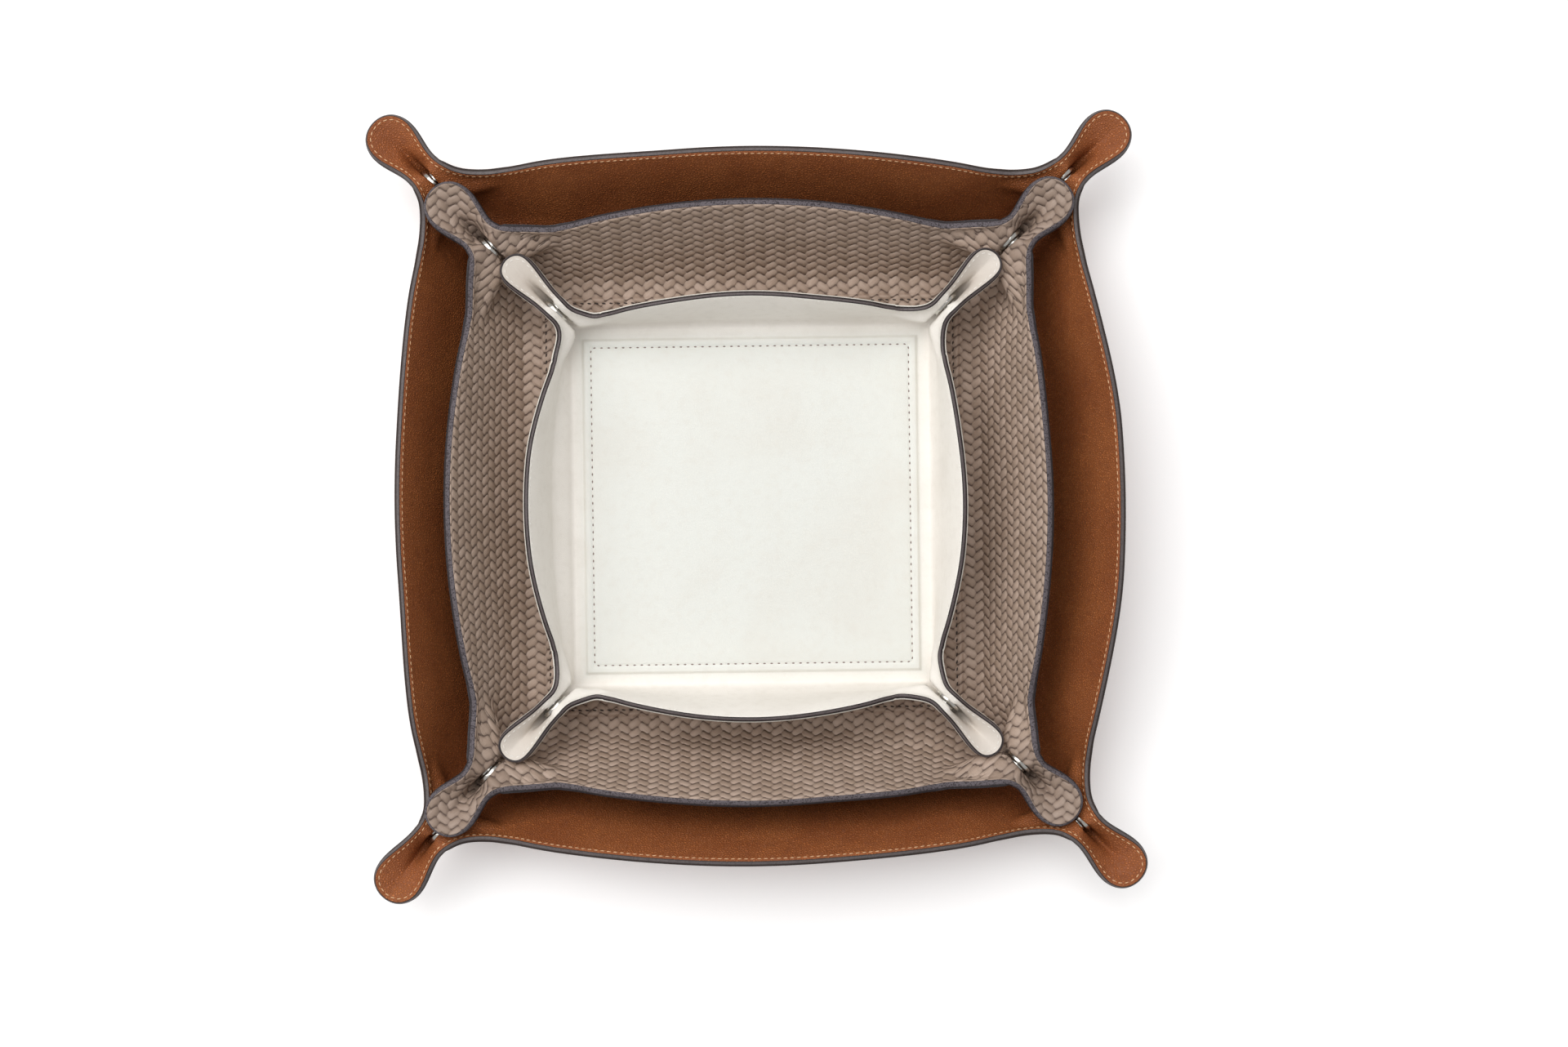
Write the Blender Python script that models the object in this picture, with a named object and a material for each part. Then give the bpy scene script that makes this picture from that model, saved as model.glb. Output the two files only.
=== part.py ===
"""Nesting set of three leather snap-corner trays, in metres, +Z up.

Each tray is a sheet of two leathers sewn together over a stiff floor board. Each corner is pinched into an
ear, held by a press stud that runs across it, and opens outwards into a round tab. The set stands on the
large tray's underside, centred on the origin, with its sides along X and Y and its tabs on the diagonals.
"""

import math
from dataclasses import dataclass

import bmesh
import bpy
import numpy as np
from mathutils import Matrix, Vector

# Clearances
GAP = 0.0003
OVERRUN = 0.002
WELD = 0.000001

# Floors: half of the square that the walls rise from, and of the board sewn into it
LARGE_FOLD_HALF = 0.118
LARGE_TO_MEDIUM_FOLD = 0.0205
MEDIUM_TO_SMALL_FOLD = 0.0195
LARGE_BOARD_MARGIN = 0.0055
MEDIUM_BOARD_MARGIN = 0.0050
SMALL_BOARD_MARGIN = 0.0045
BOARD_THICK = 0.0010
BOARD_CORNER = 0.0020
EMBOSS_RUN = 0.0012

# Walls: how far the rim leans out past the fold at mid-side, and how high it stands there
LARGE_RIM_FLARE = 0.0340
MEDIUM_RIM_FLARE = 0.0292
SMALL_RIM_FLARE = 0.0125
LARGE_RIM_HEIGHT = 0.0520
MEDIUM_RIM_HEIGHT = 0.0450
SMALL_RIM_HEIGHT = 0.0360

# Where the rim runs lowest beside a corner: along the diagonal from the floor corner, and across from it
LARGE_LOW_ALONG = 0.0226
MEDIUM_LOW_ALONG = 0.0216
SMALL_LOW_ALONG = -0.0014
LARGE_LOW_ACROSS = 0.0101
MEDIUM_LOW_ACROSS = 0.0075
SMALL_LOW_ACROSS = 0.0064

# Ears: plan distance from the floor corner to the press stud, and the slope of the crease under it
LARGE_STUD_REACH = 0.0297
MEDIUM_STUD_REACH = 0.0216
SMALL_STUD_REACH = 0.0097
LARGE_CREASE_ANGLE = math.radians(33)
MEDIUM_CREASE_ANGLE = math.radians(38)
SMALL_CREASE_ANGLE = math.radians(38)
CREASE_ROUND = 0.0050
CREASE_EASE = 0.0110
EAR_TOP_BACK = 0.0165
EAR_TOP_MIDDLE = 0.0128
EAR_TOP_FRONT = 0.0110

# Tabs: length past the stud, half width and the half width of the neck before it
LARGE_TAB_LENGTH = 0.0338
MEDIUM_TAB_TO_STUD = 0.0042
SMALL_TAB_TO_STUD = 0.0100
LARGE_TAB_HALF = 0.0097
MEDIUM_TAB_HALF = 0.0092
SMALL_TAB_HALF = 0.0064
LARGE_NECK_HALF = 0.0062
MEDIUM_NECK_HALF = 0.0060
SMALL_NECK_HALF = 0.0042
TAB_ANGLE = math.radians(20)
NECK_LIFT = 0.0186
SIDE_LIFT = 0.0095
TAB_LIFT = 0.0034
TAB_END_LIFT = 0.0012

# Leathers
LARGE_OUTER_THICK = 0.0014
LARGE_LINING_THICK = 0.0011
MEDIUM_OUTER_THICK = 0.0016
MEDIUM_LINING_THICK = 0.0017
SMALL_OUTER_THICK = 0.0011
SMALL_LINING_THICK = 0.0010

# Press stud, and the flat that it pinches the ear into
STUD_RISE = 0.0085
PINCH_HALF_GAP = 0.0017
PINCH_BACK = 0.0085
PINCH_FRONT = 0.0075
PINCH_ABOVE = 0.0078
PINCH_FADE_BACK = 0.0120
PINCH_FADE_FRONT = 0.0035
PINCH_FADE_ABOVE = 0.0035
CAP_RADIUS = 0.0046
CAP_EDGE = 0.0007
CAP_DOME = 0.0016
SHANK_RADIUS = 0.0012
SHANK_HOLE_CLEARANCE = 0.0004
SOCKET_RADIUS = 0.00625
SOCKET_FACE = 0.00035
SOCKET_BEVEL = 0.0006
SOCKET_BACK = 0.0006
RECESS_RADIUS = 0.0023
STUD_RADIUS = 0.0054
STUD_NUB_RADIUS = 0.00195
STUD_FACE = 0.00065
STUD_NUB_END = 0.0005
POST_RADIUS = 0.0045
POST_THICK = 0.0009
POST_BEVEL = 0.0003

# Grid of the sheets: stations along an eighth of the tray, and rows from the fold to the rim
COLUMNS = (0, 1.6, 3, 4, 5, 6, 7, 8, 9, 10, 11, 11.6, 12.3, 13)
CORNER_STATION = 4
ROW_SHARES = (0.0, 0.25, 0.55, 0.8, 1.0)
PINCH_ROW_SHARE = 0.25
SHELL_LIMIT = 1.3

# Stations: wall shares of the fold, of the rim's run to the ear, of its draw inwards and of its fall
WALL_BASE_SHARES = (0.0, 0.30, 0.58, 0.82, 1.0)
WALL_RIM_SHARES = (0.0, 0.30, 0.57, 0.80, 0.90, 0.955)
WALL_DRAW_SHARES = (0.0, 0.11, 0.38, 0.70, 0.87, 0.945)
WALL_FALL_SHARES = (0.0, 0.04, 0.18, 0.50, 0.78, 0.92)
# Tab stations: shares of the tab's length for the crease end and for the rim end of each rib
TAB_BASE_SHARES = (0.44, 0.57, 0.69, 0.765, 0.795)
NECK_SHARE = 0.175
SIDE_SHARE = 0.42
SIDE_WIDTH_SHARE = 0.4
TAB_TURN_SHARE = 0.72
# Ribs: turn of the foot from across to straight out, lean at the rim, tilt back as shares of the crease
RIB_TURNS = tuple(math.radians(a) for a in (45, 45, 45, 45, 45, 20, 5, 0, 0, 5, 10, 25, 60, 90))
RIB_LEANS = tuple(math.radians(a) for a in (62, 62, 63, 65, 68, 66, 52, 48, 50, 58, 50, 30, 20, 20))
RIB_TILT_SHARES = (0.0, 0.0, 0.05, 0.12, 0.25, 0.5, 0.95, 1.0, 1.0, 0.9, 0.7, 0.35, 0.1, 0.0)
FOOT_HANDLE_SHARE = 0.13
RIM_HANDLE_SHARE = 0.38
RIM_TURN_SHARE = 0.7

CAP_SEGMENTS = 8
SOCKET_SEGMENTS = 12
STUD_SEGMENTS = 8
POST_SEGMENTS = 6
HOLE_SEGMENTS = 6
SHARP_ANGLE = math.radians(40)
CORNERS = ("back_right", "back_left", "front_left", "front_right")


@dataclass(frozen=True)
class Finish:
    """Colour, roughness and metallic value of one material."""

    colour: tuple
    roughness: float
    metallic: float = 0.0


BROWN_LEATHER = Finish((0.24, 0.075, 0.022), 0.55)
TAUPE_WEAVE = Finish((0.25, 0.19, 0.15), 0.7)
CREAM_LEATHER = Finish((0.80, 0.77, 0.70), 0.5)
DARK_LEATHER = Finish((0.07, 0.06, 0.065), 0.6)
CREAM_BACK = Finish((0.66, 0.62, 0.55), 0.55)
GREYBOARD = Finish((0.30, 0.28, 0.25), 0.9)
NICKEL = Finish((0.78, 0.76, 0.70), 0.22, 1.0)


@dataclass(frozen=True)
class Tray:
    """Sizes of one tray. Along is measured on the diagonal from the floor corner, across square to it."""

    name: str
    level: float
    fold_half: float
    board_margin: float
    rim_flare: float
    rim_height: float
    low_along: float
    low_across: float
    stud_reach: float
    crease_angle: float
    tab_length: float
    tab_half: float
    neck_half: float
    outer_thick: float
    lining_thick: float
    lining_finish: Finish
    outer_finish: Finish

    @property
    def sheet_thick(self):
        return self.outer_thick + GAP + self.lining_thick

    @property
    def floor_top(self):
        return self.sheet_thick + BOARD_THICK + GAP

    def crease_height(self, along):
        """Height of the crease over the fold: rounded off at the floor corner, easing off along the tab."""
        out = max(along, 0.0)
        slope = math.tan(self.crease_angle)
        ease_start = self.stud_reach + CREASE_EASE
        ease_run = self.tab_length - CREASE_EASE
        past = max(along - ease_start, 0.0)
        eased = (slope - math.tan(TAB_ANGLE)) * past**2 / (2 * ease_run)
        return slope * (math.hypot(out, CREASE_ROUND) - CREASE_ROUND) - eased

    def crease_slope(self, along):
        step = WELD
        return (self.crease_height(along + step) - self.crease_height(along - step)) / (2 * step)

    @property
    def foot_along(self):
        """Where the crease lies straight under the stud, square to the crease."""
        return self.stud_reach + STUD_RISE * math.sin(self.crease_angle)

    @property
    def stud_height(self):
        return self.crease_height(self.foot_along) + STUD_RISE * math.cos(self.crease_angle)

    def ear_point(self, forward, up):
        """(along, height) of a point of the ear, given forward along the crease and up from the stud."""
        cos, sin = math.cos(self.crease_angle), math.sin(self.crease_angle)
        return self.stud_reach + forward * cos - up * sin, self.stud_height + forward * sin + up * cos

    def rim_across(self, along):
        """Half width of the ear's mouth, from beside the low point of the rim to the neck."""
        neck_along = self.stud_reach + NECK_SHARE * self.tab_length
        run = neck_along - self.low_along
        t = (along - self.low_along) / run
        if t < 0:
            return self.low_across + self.low_along - along
        start, turn, end = 2 * t**3 - 3 * t**2 + 1, t**3 - 2 * t**2 + t, 3 * t**2 - 2 * t**3
        return start * self.low_across - turn * RIM_TURN_SHARE * run + end * self.neck_half

    def plan(self, along, across):
        """(x, y) of a point given along the diagonal and across it."""
        x = self.fold_half + (along - across) / math.sqrt(2)
        y = self.fold_half + (along + across) / math.sqrt(2)
        return x, y


LARGE = Tray(
    name="large",
    level=0.0,
    fold_half=LARGE_FOLD_HALF,
    board_margin=LARGE_BOARD_MARGIN,
    rim_flare=LARGE_RIM_FLARE,
    rim_height=LARGE_RIM_HEIGHT,
    low_along=LARGE_LOW_ALONG,
    low_across=LARGE_LOW_ACROSS,
    stud_reach=LARGE_STUD_REACH,
    crease_angle=LARGE_CREASE_ANGLE,
    tab_length=LARGE_TAB_LENGTH,
    tab_half=LARGE_TAB_HALF,
    neck_half=LARGE_NECK_HALF,
    outer_thick=LARGE_OUTER_THICK,
    lining_thick=LARGE_LINING_THICK,
    lining_finish=BROWN_LEATHER,
    outer_finish=BROWN_LEATHER,
)


def nested_tab_length(holder, short_by, fold_half, stud_reach):
    """Tab length that ends a set distance short of the stud of the tray outside it."""
    holder_stud = holder.fold_half * math.sqrt(2) + holder.stud_reach
    return holder_stud - short_by - fold_half * math.sqrt(2) - stud_reach


MEDIUM_FOLD_HALF = LARGE_FOLD_HALF - LARGE_TO_MEDIUM_FOLD
MEDIUM = Tray(
    name="medium",
    level=LARGE.level + LARGE.floor_top + GAP,
    fold_half=MEDIUM_FOLD_HALF,
    board_margin=MEDIUM_BOARD_MARGIN,
    rim_flare=MEDIUM_RIM_FLARE,
    rim_height=MEDIUM_RIM_HEIGHT,
    low_along=MEDIUM_LOW_ALONG,
    low_across=MEDIUM_LOW_ACROSS,
    stud_reach=MEDIUM_STUD_REACH,
    crease_angle=MEDIUM_CREASE_ANGLE,
    tab_length=nested_tab_length(LARGE, MEDIUM_TAB_TO_STUD, MEDIUM_FOLD_HALF, MEDIUM_STUD_REACH),
    tab_half=MEDIUM_TAB_HALF,
    neck_half=MEDIUM_NECK_HALF,
    outer_thick=MEDIUM_OUTER_THICK,
    lining_thick=MEDIUM_LINING_THICK,
    lining_finish=TAUPE_WEAVE,
    outer_finish=DARK_LEATHER,
)

SMALL_FOLD_HALF = MEDIUM_FOLD_HALF - MEDIUM_TO_SMALL_FOLD
SMALL = Tray(
    name="small",
    level=MEDIUM.level + MEDIUM.floor_top + GAP,
    fold_half=SMALL_FOLD_HALF,
    board_margin=SMALL_BOARD_MARGIN,
    rim_flare=SMALL_RIM_FLARE,
    rim_height=SMALL_RIM_HEIGHT,
    low_along=SMALL_LOW_ALONG,
    low_across=SMALL_LOW_ACROSS,
    stud_reach=SMALL_STUD_REACH,
    crease_angle=SMALL_CREASE_ANGLE,
    tab_length=nested_tab_length(MEDIUM, SMALL_TAB_TO_STUD, SMALL_FOLD_HALF, SMALL_STUD_REACH),
    tab_half=SMALL_TAB_HALF,
    neck_half=SMALL_NECK_HALF,
    outer_thick=SMALL_OUTER_THICK,
    lining_thick=SMALL_LINING_THICK,
    lining_finish=CREAM_LEATHER,
    outer_finish=CREAM_BACK,
)


def wall_stations(tray):
    """Ribs from mid-side to the ear: foot along the fold and the crease, and rim point."""
    back_along, back_height = tray.ear_point(-PINCH_BACK, EAR_TOP_BACK)
    back_x, back_y = tray.plan(back_along, tray.rim_across(back_along))
    rim_y = tray.fold_half + tray.rim_flare
    back_foot = tray.foot_along - PINCH_BACK * math.cos(tray.crease_angle)
    feet = [(share - 1) * tray.fold_half for share in WALL_BASE_SHARES] + [back_foot / 2]
    stations = []
    for foot, run, draw, fall in zip(feet, WALL_RIM_SHARES, WALL_DRAW_SHARES, WALL_FALL_SHARES):
        height = tray.rim_height + (back_height - tray.rim_height) * fall
        stations.append((foot, back_x * run, rim_y + (back_y - rim_y) * draw, height))
    return stations


def ear_stations(tray):
    """Three parallel ribs through the pinched flat, square to the crease."""
    stations = []
    for forward, top in ((-PINCH_BACK, EAR_TOP_BACK), (0.0, EAR_TOP_MIDDLE), (PINCH_FRONT, EAR_TOP_FRONT)):
        along, height = tray.ear_point(forward, top)
        x, y = tray.plan(along, tray.rim_across(along))
        stations.append((tray.foot_along + forward * math.cos(tray.crease_angle), x, y, height))
    return stations


def tab_stations(tray):
    """Ribs from the neck round the tab's end to its tip."""
    length, half = tray.tab_length, tray.tab_half
    side = tray.neck_half + (half - tray.neck_half) * SIDE_WIDTH_SHARE
    turned = half * TAB_TURN_SHARE
    rims = (
        (NECK_SHARE * length, tray.neck_half, NECK_LIFT),
        (SIDE_SHARE * length, side, SIDE_LIFT),
        (length - half, half, TAB_LIFT),
        (length - half + turned, turned, TAB_END_LIFT),
        (length, 0.0, 0.0),
    )
    stations = []
    for base_share, (out, across, lift) in zip(TAB_BASE_SHARES, rims):
        along = tray.stud_reach + out
        x, y = tray.plan(along, across)
        foot = tray.stud_reach + base_share * length
        stations.append((foot, x, y, tray.crease_height(along) + lift))
    return stations


def natural_spline(knots):
    """Second derivatives of a natural cubic spline through rows that stand one unit apart."""
    count = len(knots)
    system = np.eye(count)
    right = np.zeros_like(knots)
    for i in range(1, count - 1):
        system[i, i - 1 : i + 2] = (1, 4, 1)
        right[i] = 6 * (knots[i - 1] - 2 * knots[i] + knots[i + 1])
    return np.linalg.solve(system, right)


def mirrored_at_side(row, tray):
    """The rib on the other side of mid-side, where the foot runs back from the middle."""
    foot, x, y, height, *angles = row
    return [-2 * tray.fold_half - foot, -x, y, height, *angles]


def mirrored_at_tip(row):
    """The rib on the other side of the diagonal."""
    foot, x, y, height, turn, lean, tilt = row
    return [foot, y, x, height, math.pi - turn, lean, tilt]


class Skin:
    """The lining's upper face over an eighth of a tray, as ribs swept from mid-side to the tab's tip."""

    def __init__(self, tray):
        self.tray = tray
        ribs = wall_stations(tray) + ear_stations(tray) + tab_stations(tray)
        tilts = [tray.crease_angle * share for share in RIB_TILT_SHARES]
        rows = [[*rib, *angles] for rib, *angles in zip(ribs, RIB_TURNS, RIB_LEANS, tilts)]
        before = [mirrored_at_side(row, tray) for row in (rows[2], rows[1])]
        after = [mirrored_at_tip(row) for row in (rows[-2], rows[-3])]
        self.lead = len(before)
        self.knots = np.array(before + rows + after)
        self.bends = natural_spline(self.knots)

    def rib(self, station):
        """Foot distance, rim point and angles of the rib at a station, which may lie between two."""
        place = station + self.lead
        i = min(int(place), len(self.knots) - 2)
        t = place - i
        linear = self.knots[i] * (1 - t) + self.knots[i + 1] * t
        bend = self.bends[i] * ((1 - t) ** 3 - (1 - t)) + self.bends[i + 1] * (t**3 - t)
        return linear + bend / 6

    def point(self, station, row_share):
        """Position on the skin, from the fold or the crease at 0 to the rim at 1."""
        tray = self.tray
        foot, rim_x, rim_y, rim_height, turn, lean, tilt = self.rib(station)
        if foot < 0:
            start = Vector((tray.fold_half + foot, tray.fold_half, 0.0))
        else:
            start = Vector((*tray.plan(foot, 0.0), tray.crease_height(foot)))
        end = Vector((rim_x, rim_y, rim_height))
        chord = (end - start).length
        ahead = Vector((1, 1, 0)) / math.sqrt(2)
        across = Vector((-1, 1, 0)) / math.sqrt(2)
        crease = (ahead + Vector((0, 0, tray.crease_slope(foot)))).normalized()
        foot_way = crease * math.sin(turn) + across * math.cos(turn)
        level_way = ahead * math.sin(turn) + across * math.cos(turn)
        steep_way = Vector((0, 0, math.cos(tilt))) - ahead * math.sin(tilt)
        rim_way = level_way * math.cos(lean) + steep_way * math.sin(lean)
        low = start + foot_way * chord * FOOT_HANDLE_SHARE
        high = end - rim_way * chord * RIM_HANDLE_SHARE
        w, v = row_share, 1 - row_share
        place = start * v**3 + low * 3 * v * v * w + high * 3 * v * w * w + end * w**3
        return self.pinched(place, row_share)

    def pinched(self, place, row_share):
        """The place drawn in to the flat that the stud holds."""
        tray = self.tray
        along = (place.x + place.y - 2 * tray.fold_half) / math.sqrt(2)
        across = (place.y - place.x) / math.sqrt(2)
        cos, sin = math.cos(tray.crease_angle), math.sin(tray.crease_angle)
        out, rise = along - tray.stud_reach, place.z - tray.stud_height
        forward, up = out * cos + rise * sin, rise * cos - out * sin
        past_front, past_back = forward - PINCH_FRONT, -forward - PINCH_BACK
        held = 1 - eased(max(past_front / PINCH_FADE_FRONT, past_back / PINCH_FADE_BACK))
        held *= 1 - eased((up - PINCH_ABOVE) / PINCH_FADE_ABOVE)
        held *= eased(row_share / PINCH_ROW_SHARE)
        across += (PINCH_HALF_GAP - across) * held
        x, y = tray.plan(along, across)
        return Vector((x, y, place.z))


def eased(t):
    """Smooth step from 0 to 1."""
    t = min(max(t, 0.0), 1.0)
    return t * t * (3 - 2 * t)


def floor_rings(tray, raised):
    """(half, height) of the square rings inside the fold, over the board's edge."""
    if not raised:
        return []
    board_edge = tray.fold_half - tray.board_margin
    return [(board_edge + EMBOSS_RUN, 0.0), (board_edge, BOARD_THICK + GAP)]


def skin_mesh(tray, raised):
    """The whole skin as an open mesh, faces up and inwards. Its floor is one flat face."""
    skin = Skin(tray)
    rings = floor_rings(tray, raised)
    lift = Vector((0, 0, tray.sheet_thick))
    grid = []
    for station in COLUMNS:
        column = [skin.point(station, share) + lift for share in ROW_SHARES]
        if station <= CORNER_STATION:
            fold = column[0]
            inner = [Vector((fold.x, fold.y, 0)) * half / tray.fold_half for half, _ in rings]
            heights = [fold.z + height for _, height in rings]
            column = [Vector((p.x, p.y, z)) for p, z in zip(inner, heights)][::-1] + column
        grid.append(column)
    bm = bmesh.new()
    for quarter in range(len(CORNERS)):
        spin = Matrix.Rotation(quarter * math.pi / 2, 4, "Z")
        for mirrored in (False, True):
            add_eighth(bm, grid, spin, mirrored)
    bmesh.ops.remove_doubles(bm, verts=bm.verts, dist=WELD)
    bmesh.ops.triangulate(bm, faces=bm.faces, quad_method="SHORT_EDGE")
    inside = tray.fold_half + WELD
    boundary = [edge for edge in bm.edges if edge.is_boundary]
    floor_edges = [edge for edge in boundary if all(max(map(abs, v.co.xy)) < inside for v in edge.verts)]
    floor = bmesh.ops.edgeloop_fill(bm, edges=floor_edges)["faces"][0]
    floor.normal_update()
    if floor.normal.z < 0:
        floor.normal_flip()
    bm.normal_update()
    return bm


def add_eighth(bm, grid, spin, mirrored):
    """Quads of one eighth. The columns are lined up at the rim, where they all end."""
    columns = []
    for column in grid:
        places = [Vector((p.y, p.x, p.z)) if mirrored else p for p in column]
        columns.append([bm.verts.new(spin @ p) for p in places])
    for left, right in zip(columns, columns[1:]):
        rows = min(len(left), len(right))
        left, right = left[-rows:], right[-rows:]
        for j in range(rows - 1):
            corners = [left[j], right[j], right[j + 1], left[j + 1]]
            bm.faces.new(corners[::-1] if mirrored else corners)


def sheet_mesh(name, tray, near, far, raised):
    """A closed sheet between two depths under the skin, with its edge at the rim."""
    skin = skin_mesh(tray, raised)
    skin.verts.index_update()
    flat_heights = {round(tray.sheet_thick + height, 6) for height in (0.0, BOARD_THICK + GAP)}
    upper, lower = [], []
    for vert in skin.verts:
        on_floor = max(map(abs, vert.co.xy)) < tray.fold_half + WELD and round(vert.co.z, 6) in flat_heights
        way = vert.normal * min(vert.calc_shell_factor(), SHELL_LIMIT)
        if on_floor:
            way.z = 1.0
        upper.append(vert.co - way * near)
        lower.append(vert.co - way * far)
    count = len(upper)
    faces = [[v.index for v in face.verts] for face in skin.faces]
    faces += [[i + count for i in reversed(face)] for face in faces]
    for edge in skin.edges:
        if edge.is_boundary:
            loop = edge.link_loops[0]
            a, b = loop.vert.index, loop.link_loop_next.vert.index
            faces.append([b, a, a + count, b + count])
    skin.free()
    mesh = bpy.data.meshes.new(name)
    mesh.from_pydata(upper + lower, [], faces)
    mesh.shade_smooth()
    mesh.set_sharp_from_angle(angle=SHARP_ANGLE)
    return mesh


def turned_mesh(name, profile, segments, closed=False):
    """A turned piece about local Z, from (height, radius) rings. A closed profile goes right round a hole."""
    bm = bmesh.new()
    rings = []
    for height, radius in profile:
        angles = [2 * math.pi * k / segments for k in range(segments)]
        rings.append([bm.verts.new((radius * math.cos(a), radius * math.sin(a), height)) for a in angles])
    pairs = list(zip(rings, rings[1:]))
    if closed:
        pairs.append((rings[-1], rings[0]))
    else:
        bm.faces.new(rings[0])
        bm.faces.new(rings[-1])
    for lower, upper in pairs:
        for k in range(segments):
            after = (k + 1) % segments
            bm.faces.new((lower[k], lower[after], upper[after], upper[k]))
    bmesh.ops.recalc_face_normals(bm, faces=bm.faces)
    mesh = bpy.data.meshes.new(name)
    bm.to_mesh(mesh)
    bm.free()
    mesh.shade_smooth()
    mesh.set_sharp_from_angle(angle=SHARP_ANGLE)
    return mesh


def new_material(name, finish):
    """A Principled material of the given finish."""
    material = bpy.data.materials.new(name)
    material.use_nodes = True
    shader = material.node_tree.nodes["Principled BSDF"]
    shader.inputs["Base Color"].default_value = (*finish.colour, 1.0)
    shader.inputs["Roughness"].default_value = finish.roughness
    shader.inputs["Metallic"].default_value = finish.metallic
    material.diffuse_color = (*finish.colour, 1.0)
    return material


def add_object(name, mesh, parent):
    """An object of the scene under its tray's frame."""
    obj = bpy.data.objects.new(name, mesh)
    bpy.context.scene.collection.objects.link(obj)
    obj.parent = parent
    return obj


def stud_placement(tray, quarter):
    """Frame of one press stud: local Z runs across the ear towards the cap."""
    x, y = tray.plan(tray.stud_reach, 0.0)
    centre = Vector((x, y, tray.sheet_thick + tray.stud_height))
    ahead = Vector((1, 1, 0)).normalized()
    across = Vector((-1, 1, 0)).normalized()
    turn = Matrix((ahead, Vector((0, 0, -1)), across)).transposed().to_4x4()
    return Matrix.Rotation(quarter * math.pi / 2, 4, "Z") @ Matrix.Translation(centre) @ turn


def cap_profile(tray):
    """Shank through the leather into the socket's back, and a domed head outside."""
    back = PINCH_HALF_GAP + tray.sheet_thick + GAP
    shank_end = PINCH_HALF_GAP - GAP - SOCKET_BACK * 3 / 4
    return [
        (shank_end, SHANK_RADIUS),
        (back, SHANK_RADIUS),
        (back, CAP_RADIUS),
        (back + CAP_EDGE, CAP_RADIUS),
        (back + CAP_DOME, CAP_RADIUS / 2),
    ]


def socket_profile():
    """A ring with a shank hole in its back and a wider recess for the stud's nub in its face."""
    back = PINCH_HALF_GAP - GAP
    hole = SHANK_RADIUS + SHANK_HOLE_CLEARANCE
    return [
        (back, hole),
        (back, SOCKET_RADIUS),
        (SOCKET_BEVEL - SOCKET_FACE, SOCKET_RADIUS),
        (-SOCKET_FACE, SOCKET_RADIUS - SOCKET_BEVEL),
        (-SOCKET_FACE, RECESS_RADIUS),
        (back - SOCKET_BACK, RECESS_RADIUS),
        (back - SOCKET_BACK, hole),
    ]


def stud_profile():
    """A flange with a nub that enters the socket, hollow behind for the post's shank."""
    back = -(PINCH_HALF_GAP - GAP)
    hollow = SHANK_RADIUS + GAP
    hollow_end = STUD_NUB_END - (STUD_NUB_RADIUS - hollow)
    return [
        (hollow_end, hollow),
        (back, hollow),
        (back, STUD_RADIUS),
        (-STUD_FACE, STUD_RADIUS),
        (-STUD_FACE, STUD_NUB_RADIUS),
        (STUD_NUB_END, STUD_NUB_RADIUS),
    ]


def post_profile(tray):
    """A flat head outside the leather, and a shank that ends inside the stud."""
    back = PINCH_HALF_GAP + tray.sheet_thick + GAP
    shank_end = -(STUD_NUB_END - (STUD_NUB_RADIUS - SHANK_RADIUS - GAP)) + GAP
    return [
        (-shank_end, SHANK_RADIUS),
        (-back, SHANK_RADIUS),
        (-back, POST_RADIUS),
        (-back - POST_THICK, POST_RADIUS - POST_BEVEL),
    ]


def add_studs(tray, parent):
    """The four press studs of a tray, each a cap, socket, stud and post."""
    pieces = (
        ("cap", cap_profile(tray), CAP_SEGMENTS, False),
        ("socket", socket_profile(), SOCKET_SEGMENTS, True),
        ("stud", stud_profile(), STUD_SEGMENTS, False),
        ("post", post_profile(tray), POST_SEGMENTS, False),
    )
    for piece, profile, segments, closed in pieces:
        mesh = turned_mesh(f"{tray.name}_{piece}", profile, segments, closed)
        mesh.materials.append(new_material(f"{tray.name}_{piece}", NICKEL))
        for quarter, corner in enumerate(CORNERS):
            obj = add_object(f"{tray.name}_{piece}_{corner}", mesh, parent)
            obj.matrix_local = stud_placement(tray, quarter)


def shank_cutter(tray, parent):
    """Four pins, one across each ear, that cut the holes for the shanks."""
    reach = PINCH_HALF_GAP + tray.sheet_thick + OVERRUN
    radius = SHANK_RADIUS + SHANK_HOLE_CLEARANCE
    bm = bmesh.new()
    for quarter in range(len(CORNERS)):
        bmesh.ops.create_cone(
            bm,
            cap_ends=True,
            segments=HOLE_SEGMENTS,
            radius1=radius,
            radius2=radius,
            depth=2 * reach,
            matrix=stud_placement(tray, quarter),
        )
    mesh = bpy.data.meshes.new(f"{tray.name}_shank_cutter")
    bm.to_mesh(mesh)
    bm.free()
    cutter = add_object(mesh.name, mesh, parent)
    cutter.hide_render = True
    cutter.display_type = "WIRE"
    return cutter


def add_sheets(tray, parent):
    """The lining and the outer leather, pierced for the shanks."""
    cutter = shank_cutter(tray, parent)
    near_outer = tray.lining_thick + GAP
    layers = (
        ("lining", 0.0, tray.lining_thick, True, tray.lining_finish),
        ("outer_leather", near_outer, tray.sheet_thick, False, tray.outer_finish),
    )
    for layer, near, far, raised, finish in layers:
        name = f"{tray.name}_{layer}"
        mesh = sheet_mesh(name, tray, near, far, raised)
        mesh.materials.append(new_material(name, finish))
        obj = add_object(name, mesh, parent)
        cut = obj.modifiers.new("shank_holes", "BOOLEAN")
        cut.operation = "DIFFERENCE"
        cut.object = cutter


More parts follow.
